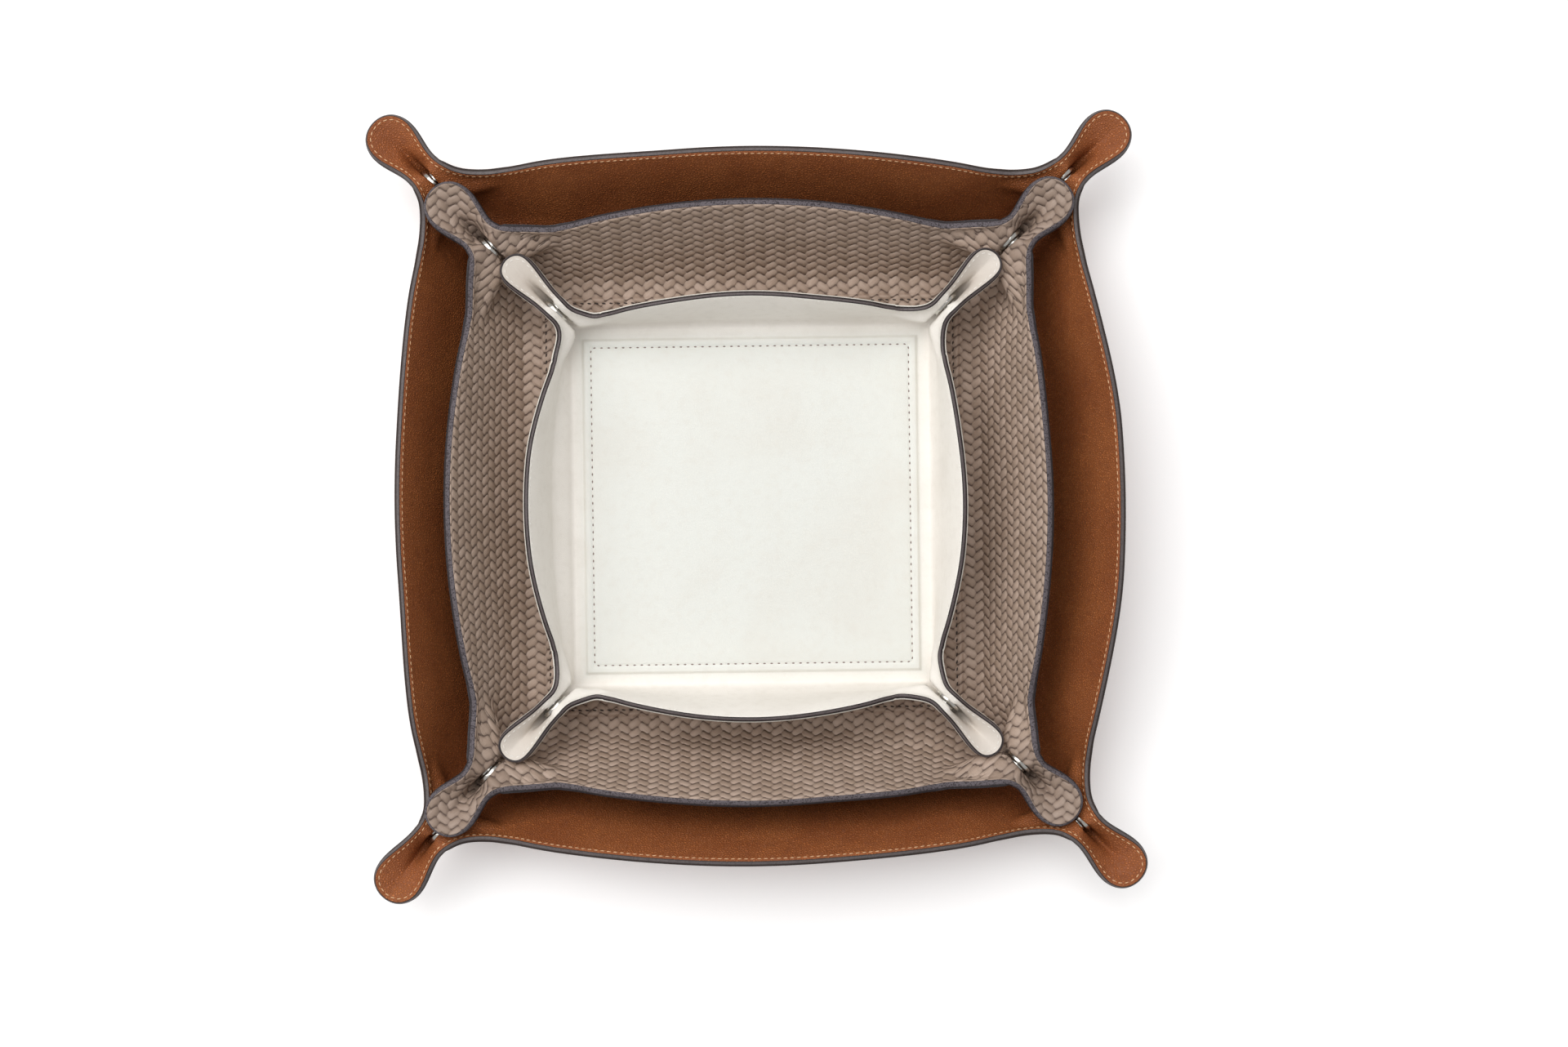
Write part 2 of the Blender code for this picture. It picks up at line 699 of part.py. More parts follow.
def add_board(tray, parent):
    """The stiff square between the two leathers of the floor."""
    half = tray.fold_half - tray.board_margin - GAP - tray.lining_thick
    bottom = tray.outer_thick + GAP
    corner = BOARD_CORNER
    outline = []
    for sx, sy in ((1, 1), (-1, 1), (-1, -1), (1, -1)):
        pair = [(sx * half, sy * (half - corner)), (sx * (half - corner), sy * half)]
        outline += pair if sx * sy > 0 else pair[::-1]
    bm = bmesh.new()
    face = bm.faces.new([bm.verts.new((x, y, bottom)) for x, y in outline])
    top = bmesh.ops.extrude_face_region(bm, geom=[face])["geom"]
    raised = [v for v in top if isinstance(v, bmesh.types.BMVert)]
    bmesh.ops.translate(bm, verts=raised, vec=(0, 0, BOARD_THICK))
    bmesh.ops.recalc_face_normals(bm, faces=bm.faces)
    name = f"{tray.name}_base_board"
    mesh = bpy.data.meshes.new(name)
    bm.to_mesh(mesh)
    bm.free()
    mesh.materials.append(new_material(name, GREYBOARD))
    add_object(name, mesh, parent)


def add_tray(tray, holder):
    """One whole tray under an empty at its underside, inside the tray that holds it."""
    frame = bpy.data.objects.new(f"{tray.name}_tray_frame", None)
    bpy.context.scene.collection.objects.link(frame)
    frame.parent = holder
    frame.location.z = tray.level - (holder.matrix_world.translation.z if holder else 0.0)
    bpy.context.view_layer.update()
    add_sheets(tray, frame)
    add_board(tray, frame)
    add_studs(tray, frame)
    return frame


def main():
    for obj in list(bpy.data.objects):
        bpy.data.objects.remove(obj, do_unlink=True)
    holder = None
    for tray in (LARGE, MEDIUM, SMALL):
        holder = add_tray(tray, holder)


if __name__ == "__main__":
    main()
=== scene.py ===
"""Looks of a nesting set of three leather snap-corner trays, in metres, +Z up.

Each tray is a lining and an outer leather sewn together over a stiff board. The sheets are swept from the
same ribs as the frame's solids, in finer steps, with a painted edge, stitches and turned press studs.
"""

import logging
import math
from collections.abc import Callable, Sequence
from dataclasses import dataclass
from enum import Enum

import bpy
import numpy as np
from mathutils import Matrix, Vector


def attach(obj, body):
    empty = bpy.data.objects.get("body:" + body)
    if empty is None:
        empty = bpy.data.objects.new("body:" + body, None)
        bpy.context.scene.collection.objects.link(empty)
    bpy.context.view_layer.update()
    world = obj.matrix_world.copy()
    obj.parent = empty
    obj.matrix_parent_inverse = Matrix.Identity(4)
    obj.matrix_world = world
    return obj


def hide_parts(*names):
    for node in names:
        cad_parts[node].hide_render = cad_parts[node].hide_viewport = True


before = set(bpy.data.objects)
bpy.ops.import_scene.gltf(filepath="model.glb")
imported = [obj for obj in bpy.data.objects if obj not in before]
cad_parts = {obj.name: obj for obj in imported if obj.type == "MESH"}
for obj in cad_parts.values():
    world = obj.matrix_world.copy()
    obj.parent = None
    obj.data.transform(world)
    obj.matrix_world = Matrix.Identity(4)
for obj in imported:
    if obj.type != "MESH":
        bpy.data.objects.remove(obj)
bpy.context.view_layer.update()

log = logging.getLogger("trays")

Pair = tuple[float, float]
Triple = tuple[float, float, float]
Colour = Triple
Path = tuple[np.ndarray, np.ndarray]
Settings = dict[str, object]
Inputs = dict[int | str, object]
Socket = bpy.types.NodeSocket
Material = bpy.types.Material
Mesh = bpy.types.Mesh
Piece = bpy.types.Object

GAP = 0.0003
WELD = 0.000001
CORNERS = ("back_right", "back_left", "front_left", "front_right")
QUARTERS = len(CORNERS)

# Board under the lining, and the rounding of the leather over its edge
BOARD_THICK = 0.0010
BOARD_SLOPE_RUN = 0.0016

# Creases, ears and tabs that the three trays share
CREASE_ROUND = 0.0050
CREASE_EASE = 0.0110
EAR_TOP_BACK = 0.0165
EAR_TOP_MIDDLE = 0.0128
EAR_TOP_FRONT = 0.0110
TAB_ANGLE = math.radians(20)
NECK_LIFT = 0.0186
SIDE_LIFT = 0.0095
TAB_LIFT = 0.0034
TAB_END_LIFT = 0.0012

# Press stud, and the flat that it pinches the ear into
STUD_RISE = 0.0085
PINCH_HALF_GAP = 0.0017
PINCH_BACK = 0.0085
PINCH_FRONT = 0.0075
PINCH_ABOVE = 0.0078
PINCH_FADE_BACK = 0.0120
PINCH_FADE_FRONT = 0.0035
PINCH_FADE_ABOVE = 0.0035
PINCH_SINK = 0.5
PINCH_SPREAD = 1.0
DISC_RADIUS = 0.00625
LIP_CLOSING = 0.0008
LIP_RUN = 0.0018

# Ribs of an eighth of a tray: shares and angles by station
CORNER_STATION = 4
LAST_STATION = 13
PINCH_ROW_SHARE = 0.25
PINCH_RIM_SHARE = 0.8
WALL_BASE_SHARES = (0.0, 0.30, 0.58, 0.82, 1.0)
WALL_RIM_SHARES = (0.0, 0.30, 0.57, 0.80, 0.90, 0.955)
WALL_DRAW_SHARES = (0.0, 0.11, 0.38, 0.70, 0.87, 0.945)
WALL_FALL_SHARES = (0.0, 0.04, 0.18, 0.50, 0.78, 0.92)
TAB_BASE_SHARES = (0.44, 0.57, 0.69, 0.765, 0.795)
NECK_SHARE = 0.175
SIDE_SHARE = 0.42
SIDE_WIDTH_SHARE = 0.4
TAB_TURN_SHARE = 0.72
RIB_TURNS = tuple(math.radians(a) for a in (45, 45, 45, 45, 45, 20, 5, 0, 0, 5, 10, 25, 60, 90))
RIB_LEANS = tuple(math.radians(a) for a in (62, 62, 63, 65, 68, 66, 52, 48, 50, 58, 50, 30, 20, 20))
RIB_TILT_SHARES = (0.0, 0.0, 0.05, 0.12, 0.25, 0.5, 0.95, 1.0, 1.0, 0.9, 0.7, 0.35, 0.1, 0.0)
FOOT_HANDLE_SHARE = 0.13
RIM_HANDLE_SHARE = 0.38
RIM_TURN_SHARE = 0.7

# Fineness of the sheets, and how their flat map is drawn
STEPS_PER_STATION = 8
RIB_ROWS = 30
HELD_SHARE = 0.6
RELAX_ROUNDS = 400
RELAX_STRENGTH = 1.6
FOLD_FADE_STATIONS = 3
FLOOR_RING_SHARES = (0.0, 0.25, 0.6, 0.9)
GROOVE_HALF = 0.0012
GROOVE_STEPS = 4
SLOPE_STEPS = 6
SQUARE_STEPS = 8
LEAST_COSINE = 0.35

# Edge bead, stitches and press studs: fineness, and the angle past which an edge is sharp
BEAD_STEPS = 8
BEAD_POWER = 0.75
BEAD_SHARP = math.radians(50)
STITCH_SEGMENTS = 6
STITCH_RINGS = 4
DOME_STEPS = 8
METAL_SHARP = math.radians(38)

FLAT_MAP = "flat"


class Layer(Enum):
    """A leather of the sheet, from the inside out."""

    LINING = "lining"
    OUTER = "outer_leather"


class Metal(Enum):
    """A piece of a press stud, from the cap's side to the post's."""

    CAP = "cap"
    SOCKET = "socket"
    STUD = "stud"
    POST = "post"


def eased(t: float) -> float:
    """Smooth step from 0 to 1."""
    t = min(max(t, 0.0), 1.0)
    return t * t * (3 - 2 * t)


def unit(vectors: np.ndarray) -> np.ndarray:
    """Rows scaled to length 1."""
    return vectors / np.maximum(np.linalg.norm(vectors, axis=-1, keepdims=True), WELD)


def grey(level: float) -> tuple[float, float, float, float]:
    """An even grey."""
    return level, level, level, 1.0


# node tools


def maths(operation: str, reflected: bool = False) -> "Callable[..., Wire]":
    """A method for Wire that adds one Math node.

    Args:
        operation: the node's operation.
        reflected: whether the other value comes first.

    Returns:
        The method.
    """

    def method(self: "Wire", *others: "Wire | float") -> "Wire":
        """Feeds the values to the node and gives its result."""
        values = (*others, self) if reflected else (self, *others)
        return self.tree.wire("ShaderNodeMath", {"operation": operation}, dict(enumerate(values)))

    return method


class Wire:
    """A shader value. Arithmetic on it adds Math nodes."""

    def __init__(self, tree: "ShaderTree", socket: Socket) -> None:
        """Wraps an output socket of the tree."""
        self.tree = tree
        self.socket = socket

    __add__ = __radd__ = maths("ADD")
    __mul__ = __rmul__ = maths("MULTIPLY")
    __sub__ = maths("SUBTRACT")
    __rsub__ = maths("SUBTRACT", reflected=True)
    __truediv__ = maths("DIVIDE")
    __rtruediv__ = maths("DIVIDE", reflected=True)
    __pow__ = maths("POWER")
    __rpow__ = maths("POWER", reflected=True)
    __mod__ = maths("MODULO")
    __rmod__ = maths("MODULO", reflected=True)
    __abs__ = maths("ABSOLUTE")
    floor = maths("FLOOR")
    fraction = maths("FRACT")
    under = maths("LESS_THAN")
    larger = maths("MAXIMUM")
    smaller = maths("MINIMUM")

    def between(self, other: "Wire", share: "Wire | float") -> "Wire":
        """This value at share 0, the other at share 1."""
        return self + (other - self) * share

    def ramp(self, low: float, high: float, start: float = 0.0, end: float = 1.0) -> "Wire":
        """Smooth passage from start to end.

        Args:
            low: where the passage starts.
            high: where it ends.
            start: result at low and before.
            end: result at high and beyond.

        Returns:
            The value on the passage.
        """
        settings = {"interpolation_type": "SMOOTHSTEP"}
        inputs = {"Value": self, "From Min": low, "From Max": high, "To Min": start, "To Max": end}
        return self.tree.wire("ShaderNodeMapRange", settings, inputs)


class NodeTree:
    """A node tree, with one method that adds any node."""

    def __init__(self, tree: bpy.types.NodeTree) -> None:
        """Keeps the tree, its nodes and its links at hand.

        Args:
            tree: the node tree.
        """
        self.tree = tree
        self.nodes = tree.nodes
        self.links = tree.links

    def node(self, kind: str, settings: Settings, inputs: Inputs) -> bpy.types.Node:
        """Adds a node.

        Args:
            kind: the node's type.
            settings: its settings, set before its sockets.
            inputs: a value, a Wire or a socket for each input, by name or number.

        Returns:
            The node.
        """
        node = self.nodes.new(kind)
        for key, value in settings.items():
            setattr(node, key, value)
        self.feed(node, inputs)
        return node

    def feed(self, node: bpy.types.Node, inputs: Inputs) -> None:
        """Sets or links a node's inputs.

        Args:
            node: the node.
            inputs: a value, a Wire or a socket for each input, by name or number.
        """
        for key, value in inputs.items():
            given = value.socket if isinstance(value, Wire) else value
            if isinstance(given, Socket):
                self.links.new(given, node.inputs[key])
            else:
                node.inputs[key].default_value = given

    def out(self, kind: str, settings: Settings, inputs: Inputs, output: int | str = 0) -> Socket:
        """Adds a node and gives one of its outputs."""
        return self.node(kind, settings, inputs).outputs[output]


class ShaderTree(NodeTree):
    """The node tree of one material."""

    def __init__(self, name: str) -> None:
        """Starts a material with a Principled shader.

        Args:
            name: the material's name.
        """
        self.material = bpy.data.materials.new(name)
        self.material.use_nodes = True
        super().__init__(self.material.node_tree)
        self.shader = self.nodes["Principled BSDF"]

    def wire(self, kind: str, settings: Settings, inputs: Inputs, output: int | str = 0) -> Wire:
        """Adds a node and gives one of its outputs as a value."""
        return Wire(self, self.out(kind, settings, inputs, output))

    def place(self) -> Socket:
        """Object coordinates."""
        return self.out("ShaderNodeTexCoord", {}, {}, "Object")

    def flat(self) -> tuple[Wire, Wire]:
        """Where a point lies on the sheet laid flat.

        Returns:
            Its two lengths from the middle, in metres.
        """
        vector = self.out("ShaderNodeUVMap", {"uv_map": FLAT_MAP}, {})
        parts = self.node("ShaderNodeSeparateXYZ", {}, {0: vector})
        return Wire(self, parts.outputs[0]), Wire(self, parts.outputs[1])

    def noise(self, place: Socket, size: float, detail: float = 2.0, distortion: float = 0.0) -> Wire:
        """Soft noise about 0.5.

        Args:
            place: the coordinates.
            size: length of one swell in metres.
            detail: how many finer swells are added.
            distortion: how far the swells are dragged.

        Returns:
            The noise.
        """
        inputs = {"Vector": place, "Scale": 1 / size, "Detail": detail, "Distortion": distortion}
        return self.wire("ShaderNodeTexNoise", {}, inputs)

    def cells(self, place: Socket, size: float) -> Wire:
        """Distance from the edge of cells of the given size, in cells."""
        inputs = {"Vector": place, "Scale": 1 / size, "Randomness": 1.0}
        return self.wire("ShaderNodeTexVoronoi", {"feature": "DISTANCE_TO_EDGE"}, inputs, "Distance")

    def stretched(self, place: Socket, scale: Triple) -> Socket:
        """Coordinates with each axis scaled."""
        return self.out("ShaderNodeMapping", {}, {"Vector": place, "Scale": scale})

    def blend(self, share: Wire, first: Colour | Socket, second: Colour | Socket) -> Socket:
        """Mixes two colours.

        Args:
            share: how much of the second is taken.
            first: a colour, or a socket that gives one.
            second: the same.

        Returns:
            The mixed colour.
        """
        first, second = ((*c, 1.0) if isinstance(c, tuple) else c for c in (first, second))
        return self.out("ShaderNodeMix", {"data_type": "RGBA"}, {0: share, 6: first, 7: second}, 2)

    def bump(self, height: Wire, depth: float) -> Socket:
        """Normal of a relief of the given depth in metres, whose height runs from 0 to 1."""
        return self.out("ShaderNodeBump", {}, {"Height": height, "Distance": depth, "Strength": 1.0})

    def finish(self, inputs: Inputs) -> Material:
        """Feeds the Principled shader and gives the material."""
        self.feed(self.shader, inputs)
        return self.material


# finishes


@dataclass(frozen=True)
class PebbledLeather:
    """Grained leather: small pebbles with painted shade in the valleys between them, and slow drifts of
    colour.
    """

    name: str
    colour: Colour
    deep: Colour
    light: Colour
    pebble: float
    depth: float
    roughness: float
    stretch: Triple = (1.0, 1.0, 1.0)
    drift_size: float = 0.030

    def build(self) -> Material:
        """Wires the finish.

        Returns:
            The material.
        """
        tree = ShaderTree(self.name)
        place = tree.stretched(tree.place(), self.stretch)
        pebbles = tree.cells(place, self.pebble).ramp(0.0, 0.42)
        pores = tree.noise(place, self.pebble / 4, 3.0)
        drift = tree.noise(tree.place(), self.drift_size, 3.0, 0.4)
        fine_drift = tree.noise(place, self.pebble * 3.2, 3.0)
        base = tree.blend(drift.ramp(0.30, 0.70) * 0.8, self.colour, self.light)
        base = tree.blend(fine_drift.ramp(0.45, 0.80) * 0.25, base, self.deep)
        # Painted shade: the valleys between the pebbles are darkened towards the deep colour.
        base = tree.blend((1 - pebbles) * 0.55, base, self.deep)
        relief = pebbles * 0.8 + pores * 0.25
        rough = self.roughness + (1 - pebbles) * 0.12 + (fine_drift - 0.5) * 0.12
        return tree.finish({
            "Base Color": base,
            "Roughness": rough,
            "Normal": tree.bump(relief, self.depth),
            "Specular IOR Level": 0.35,
        })


@dataclass(frozen=True)
class SmoothLeather:
    """Fine-grained pale leather, cooler over the board than on the walls, with painted light and shade."""

    name: str
    # The walls' tone, painted lighter than the floor to make up for the light that the steep walls miss.
    wall_with_painted_light: Colour
    # The board's own cooler tone, set darker than the walls as part of the painted light.
    floor: Colour
    # Painted shade on the tabs, which face the lamps and would otherwise look brighter than the walls.
    tab_painted_shade: Colour
    deep: Colour
    floor_half: float
    tab_reach: float
    roughness: float = 0.5
    pore: float = 0.00055
    depth: float = 0.00006
    floor_fade: float = 0.010
    tab_fade: float = 0.008
    mottle_size: float = 0.0035
    drift_size: float = 0.035
    crease_size: float = 0.004

    def build(self) -> Material:
        """Wires the finish.

        Returns:
            The material.
        """
        tree = ShaderTree(self.name)
        across, along = tree.flat()
        reach = abs(across).larger(abs(along))
        on_floor = 1 - reach.ramp(self.floor_half, self.floor_half + self.floor_fade)
        # Where the painted shade of the tabs falls.
        tab_shade_mask = abs(across).smaller(abs(along)).ramp(self.tab_reach, self.tab_reach + self.tab_fade)
        place = tree.place()
        grain = tree.cells(place, self.pore).ramp(0.0, 0.35)
        mottle = tree.noise(place, self.mottle_size, 4.0)
        drift = tree.noise(place, self.drift_size, 2.0, 0.3)
        creases = tree.noise(tree.stretched(place, (1.0, 2.6, 1.0)), self.crease_size, 5.0, 1.2)
        # Painted light and shade: walls lighter than the floor, tabs darker; the floor's cooler hue is its
        # own.
        base = tree.blend(tab_shade_mask, tree.blend(on_floor, self.wall_with_painted_light, self.floor), self.tab_painted_shade)
        base = tree.blend(drift.ramp(0.42, 0.75) * 0.22, base, self.deep)
        base = tree.blend(mottle.ramp(0.45, 0.75) * 0.14 + (1 - grain) * 0.10, base, self.deep)
        relief = grain * 0.5 + creases * 0.9 + mottle * 0.5
        return tree.finish({
            "Base Color": base,
            "Roughness": self.roughness + (mottle - 0.5) * 0.16,
            "Normal": tree.bump(relief, self.depth),
            "Specular IOR Level": 0.4,
        })


@dataclass(frozen=True)
class HerringboneWeave:
    """Flat leather strips woven two over and two under, laid at 45 degrees, with painted shade and highlight.
    """

    name: str
    colour: Colour
    light: Colour
    deep: Colour
    strip: float = 0.0032
    end_power: float = 2.1
    side_power: float = 2.6
    reach: float = 0.92
    swell: float = 0.34
    turn: float = 0.30
    tab_reach: float = 0.106
    tab_fade: float = 0.006
    pore: float = 0.0005
    drift_size: float = 0.030
    depth: float = 0.00070
    roughness: float = 0.55

    def dome(self, along: Wire, across: Wire) -> Wire:
        """Height of a strip where it shows, a little wider where it presses on the end of another.

        Args:
            along: place along the strip, from -1 to 1.
            across: place across it, from -1 to 1 between its neighbours.

        Returns:
            The height: 1 in the middle, 0 at the outline and less outside it.
        """
        width = 1 + (along * across).ramp(-self.turn, self.turn, self.swell, 0.0)
        return 1 - abs(along / self.reach) ** self.end_power - (abs(across) / width) ** self.side_power

    def build(self) -> Material:
        """Wires the finish.

        Returns:
            The material.
        """
        tree = ShaderTree(self.name)
        u, v = tree.flat()
        period = 4.0
        # Whole repeats that keep what the remainders are taken of above 0
        clear = 100 * period
        diagonal = self.strip * math.sqrt(2)
        a = (u + v) / diagonal + clear
        b = (v - u) / diagonal + clear
        column, row = a.floor(), b.floor()
        kind = (column - row + clear) % period
        lying = kind.under(1.5)
        reach_lying = a - row + clear
        reach_standing = column - b + clear
        x = ((3 - reach_standing % period) / 2).between((reach_lying % period) / 2, lying)
        y = a.fraction().between(b.fraction(), lying)
        lane = column.between(row, lying)
        number = (reach_standing / period).floor().between((reach_lying / period).floor(), lying)
        key = tree.out("ShaderNodeCombineXYZ", {}, {0: lane, 1: number, 2: lying})
        tint = tree.wire("ShaderNodeTexWhiteNoise", {"noise_dimensions": "3D"}, {"Vector": key})
        own = self.dome(x * 2 - 1, y * 2 - 1)
        crown = own.larger(self.dome(y - 1, 1 + x * 4)).larger(self.dome(y, (1 - x) * -4 - 1)).larger(-0.35)
        gap = 1 - crown.ramp(-0.16, 0.10)
        along_strip = tree.out("ShaderNodeCombineXYZ", {}, {0: x * 0.5, 1: y * 4, 2: tint * 40 + lane})
        strands = tree.wire("ShaderNodeTexNoise", {}, {"Vector": along_strip, "Scale": 3.0, "Detail": 3.0})
        place = tree.place()
        pores = tree.noise(place, self.pore, 3.0)
        drift = tree.noise(place, self.drift_size, 2.0)
        # Random tone per strip and slow drift, plus a painted highlight on the strips that lie one way, as if
        # they caught the light.
        shade = tint.ramp(0.1, 0.95) * 0.6 + (drift - 0.5) * 0.5 + lying * 0.25
        # Painted shade on the tabs, so that their flatter faces look no brighter than the walls.
        tab_start, tab_full = self.tab_reach - self.tab_fade, self.tab_reach + self.tab_fade
        tab_shade_mask = abs(u).smaller(abs(v)).ramp(tab_start, tab_full)
        base = tree.blend(shade, self.colour, self.light)
        # The strands are the leather's own; the darkening towards each strip's edges and in the gaps between
        # strips is painted shade.
        base = tree.blend(strands.ramp(0.4, 0.75) * 0.15 + (1 - crown.ramp(0.0, 0.6)) * 0.20, base, self.deep)
        base = tree.blend(gap * 0.80, base, self.deep)
        base = tree.blend(tab_shade_mask * 0.30, base, self.deep)
        relief = crown + strands * 0.10 + pores * 0.07 + tint * 0.10
        return tree.finish({
            "Base Color": base,
            "Roughness": self.roughness + gap * 0.25 + (strands - 0.5) * 0.15,
            "Normal": tree.bump(relief, self.depth),
            "Specular IOR Level": 0.38,
        })


@dataclass(frozen=True)
class EdgePaint:
    """Layers of edge paint over the cut leathers: smooth, or rough where fibres stand through."""

    name: str
    colour: Colour
    # Colour of the painted highlight along the bead's rounded crown.
    crown: Colour
    roughness: float
    fibre: float
    depth: float
    speckle: float = 0.3
    # Where across the bead the painted highlight lies, and its half width.
    highlight_at: float = 0.36
    highlight_half: float = 0.22
    swell_size: float = 0.0060

    def build(self) -> Material:
        """Wires the finish.

        Returns:
            The material.
        """
        tree = ShaderTree(self.name)
        place = tree.place()
        _, across = tree.flat()
        fibres = tree.noise(place, self.fibre, 4.0, 0.6)
        swell = tree.noise(place, self.swell_size, 3.0)
        # Painted highlight: a lighter band along the bead's crown, where its gloss would catch the light.
        crown = 1 - abs(across - self.highlight_at).ramp(self.highlight_half * 0.5, self.highlight_half)
        base = tree.blend(crown * (0.75 + swell * 0.4), self.colour, self.crown)
        base = tree.blend(fibres.ramp(0.48, 0.62) * self.speckle, base, self.colour)
        return tree.finish({
            "Base Color": base,
            "Roughness": self.roughness + (fibres - 0.5) * 0.3,
            "Normal": tree.bump(fibres * 0.8 + swell * 0.4, self.depth),
            "Specular IOR Level": 0.3,
        })


@dataclass(frozen=True)
class Thread:
    """Twisted waxed thread."""

    name: str
    colour: Colour
    deep: Colour
    twist_size: float = 0.00035
    wear_size: float = 0.0070
    depth: float = 0.00008

    def build(self) -> Material:
        """Wires the finish.

        Returns:
            The material.
        """
        tree = ShaderTree(self.name)
        place = tree.place()
        twist = tree.noise(place, self.twist_size, 2.0, 0.8)
        wear = tree.noise(place, self.wear_size, 3.0)
        base = tree.blend(twist.ramp(0.40, 0.70) * 0.4, self.colour, self.deep)
        base = tree.blend(wear.ramp(0.50, 0.75) * 0.5, base, self.deep)
        return tree.finish({
            "Base Color": base,
            "Roughness": 0.5 + (twist - 0.5) * 0.4,
            "Normal": tree.bump(twist, self.depth),
        })


@dataclass(frozen=True)
class Nickel:
    """Polished nickel plate with fine handling marks."""

    name: str
    colour: Colour
    haze_size: float = 0.0016
    mark_size: float = 0.0022
    depth: float = 0.00001

    def build(self) -> Material:
        """Wires the finish.

        Returns:
            The material.
        """
        tree = ShaderTree(self.name)
        place = tree.place()
        haze = tree.noise(place, self.haze_size, 4.0)
        marks = tree.noise(tree.stretched(place, (1.0, 14.0, 5.0)), self.mark_size, 3.0)
        dull = tuple(0.72 * c for c in self.colour)
        base = tree.blend(haze.ramp(0.45, 0.8) * 0.35, self.colour, dull)
        return tree.finish({
            "Base Color": base,
            "Metallic": 1.0,
            "Roughness": 0.14 + haze * 0.16 + marks.ramp(0.55, 0.8) * 0.12,
            "Normal": tree.bump(marks, self.depth),
        })


@dataclass(frozen=True)
class PressedBoard:
    """Grey board of pressed fibres."""

    name: str
    colour: Colour
    fibre: float = 0.0020
    depth: float = 0.0001

    def build(self) -> Material:
        """Wires the finish.

        Returns:
            The material.
        """
        tree = ShaderTree(self.name)
        place = tree.place()
        fibres = tree.noise(tree.stretched(place, (1.0, 4.0, 1.0)), self.fibre, 5.0, 0.5)
        deep = tuple(0.6 * c for c in self.colour)
        base = tree.blend(fibres.ramp(0.4, 0.7), self.colour, deep)
        return tree.finish({
            "Base Color": base,
            "Roughness": 0.8 + fibres * 0.15,
            "Normal": tree.bump(fibres, self.depth),
        })


@dataclass(frozen=True)
class StudioFloor:
    """Floor finish: plain and pale, white to the camera but for the shadow on it, and all white far out."""

    name: str = "studio_floor"
    albedo: float = 0.82
    white: float = 0.97
    lift: float = 0.14
    far_start: float = 0.45
    far_end: float = 0.95

    def build(self) -> Material:
        """Wires the finish.

        Returns:
            The material.
        """
        tree = ShaderTree(self.name)
        paths = tree.node("ShaderNodeLightPath", {}, {})
        seen = Wire(tree, paths.outputs["Is Camera Ray"])
        for ray in ("Is Glossy Ray", "Is Transmission Ray"):
            seen = seen.larger(Wire(tree, paths.outputs[ray]))
        plain = tree.out("ShaderNodeBsdfDiffuse", {}, {"Color": grey(self.albedo)})
        pale = tree.out("ShaderNodeBsdfDiffuse", {}, {"Color": grey(self.white)})
        glow = tree.out("ShaderNodeEmission", {}, {"Color": grey(1.0), "Strength": self.lift})
        near = tree.out("ShaderNodeAddShader", {}, {0: pale, 1: glow})
        sky = tree.out("ShaderNodeEmission", {}, {"Color": grey(1.0), "Strength": 1.0})
        reach = tree.wire("ShaderNodeVectorMath", {"operation": "LENGTH"}, {0: tree.place()}, "Value")
        far = reach.ramp(self.far_start, self.far_end)
        bright = tree.out("ShaderNodeMixShader", {}, {0: far, 1: near, 2: sky})
        mixed = tree.out("ShaderNodeMixShader", {}, {0: seen, 1: plain, 2: bright})
        tree.nodes.remove(tree.shader)
        tree.feed(tree.nodes["Material Output"], {"Surface": mixed})
        return tree.material


# geometry node tools


class GrowTree(NodeTree):
    """A Geometry Nodes tree that is used once on each of several pieces."""

    def __init__(self, name: str, inputs: Sequence[tuple[str, str]]) -> None:
        """Starts the tree.

        Args:
            name: the tree's name.
            inputs: name and socket type of each input after the geometry.
        """
        super().__init__(bpy.data.node_groups.new(name, "GeometryNodeTree"))
        face = self.tree.interface
        face.new_socket("Geometry", in_out="INPUT", socket_type="NodeSocketGeometry")
        face.new_socket("Geometry", in_out="OUTPUT", socket_type="NodeSocketGeometry")
        self.keys = {}
        for label, kind in inputs:
            self.keys[label] = face.new_socket(label, in_out="INPUT", socket_type=kind).identifier
        self.entry = self.nodes.new("NodeGroupInput")
        self.exit = self.nodes.new("NodeGroupOutput")

    def given(self, label: str) -> Socket:
        """The socket of a named input."""
        return self.entry.outputs[label]

    def close(self, instances: Socket) -> None:
        """Makes the instances real, gives them their finish and ends the tree.

        Args:
            instances: what the tree has made.
        """
        real = self.out("GeometryNodeRealizeInstances", {}, {0: instances})
        smooth = self.out("GeometryNodeSetShadeSmooth", {}, {0: real})
        inputs = {"Geometry": smooth, "Material": self.given("Finish")}
        self.feed(self.exit, {0: self.out("GeometryNodeSetMaterial", {}, inputs)})

    def grow(self, name: str, seed: Mesh, values: Settings) -> Piece:
        """Runs the tree on a mesh and keeps the result as a plain piece.

        Args:
            name: the piece's name.
            seed: the mesh that the tree starts from.
            values: a value for each named input.

        Returns:
            The piece.
        """
        carrier = link_piece(f"{name}_seed", seed)
        modifier = carrier.modifiers.new(name, "NODES")
        modifier.node_group = self.tree
        for label, value in values.items():
            modifier[self.keys[label]] = value
        depsgraph = bpy.context.evaluated_depsgraph_get()
        mesh = bpy.data.meshes.new_from_object(carrier.evaluated_get(depsgraph), depsgraph=depsgraph)
        mesh.name = name
        carrier.modifiers.remove(modifier)
        bpy.data.objects.remove(carrier, do_unlink=True)
        bpy.data.meshes.remove(seed)
        return link_piece(name, mesh)


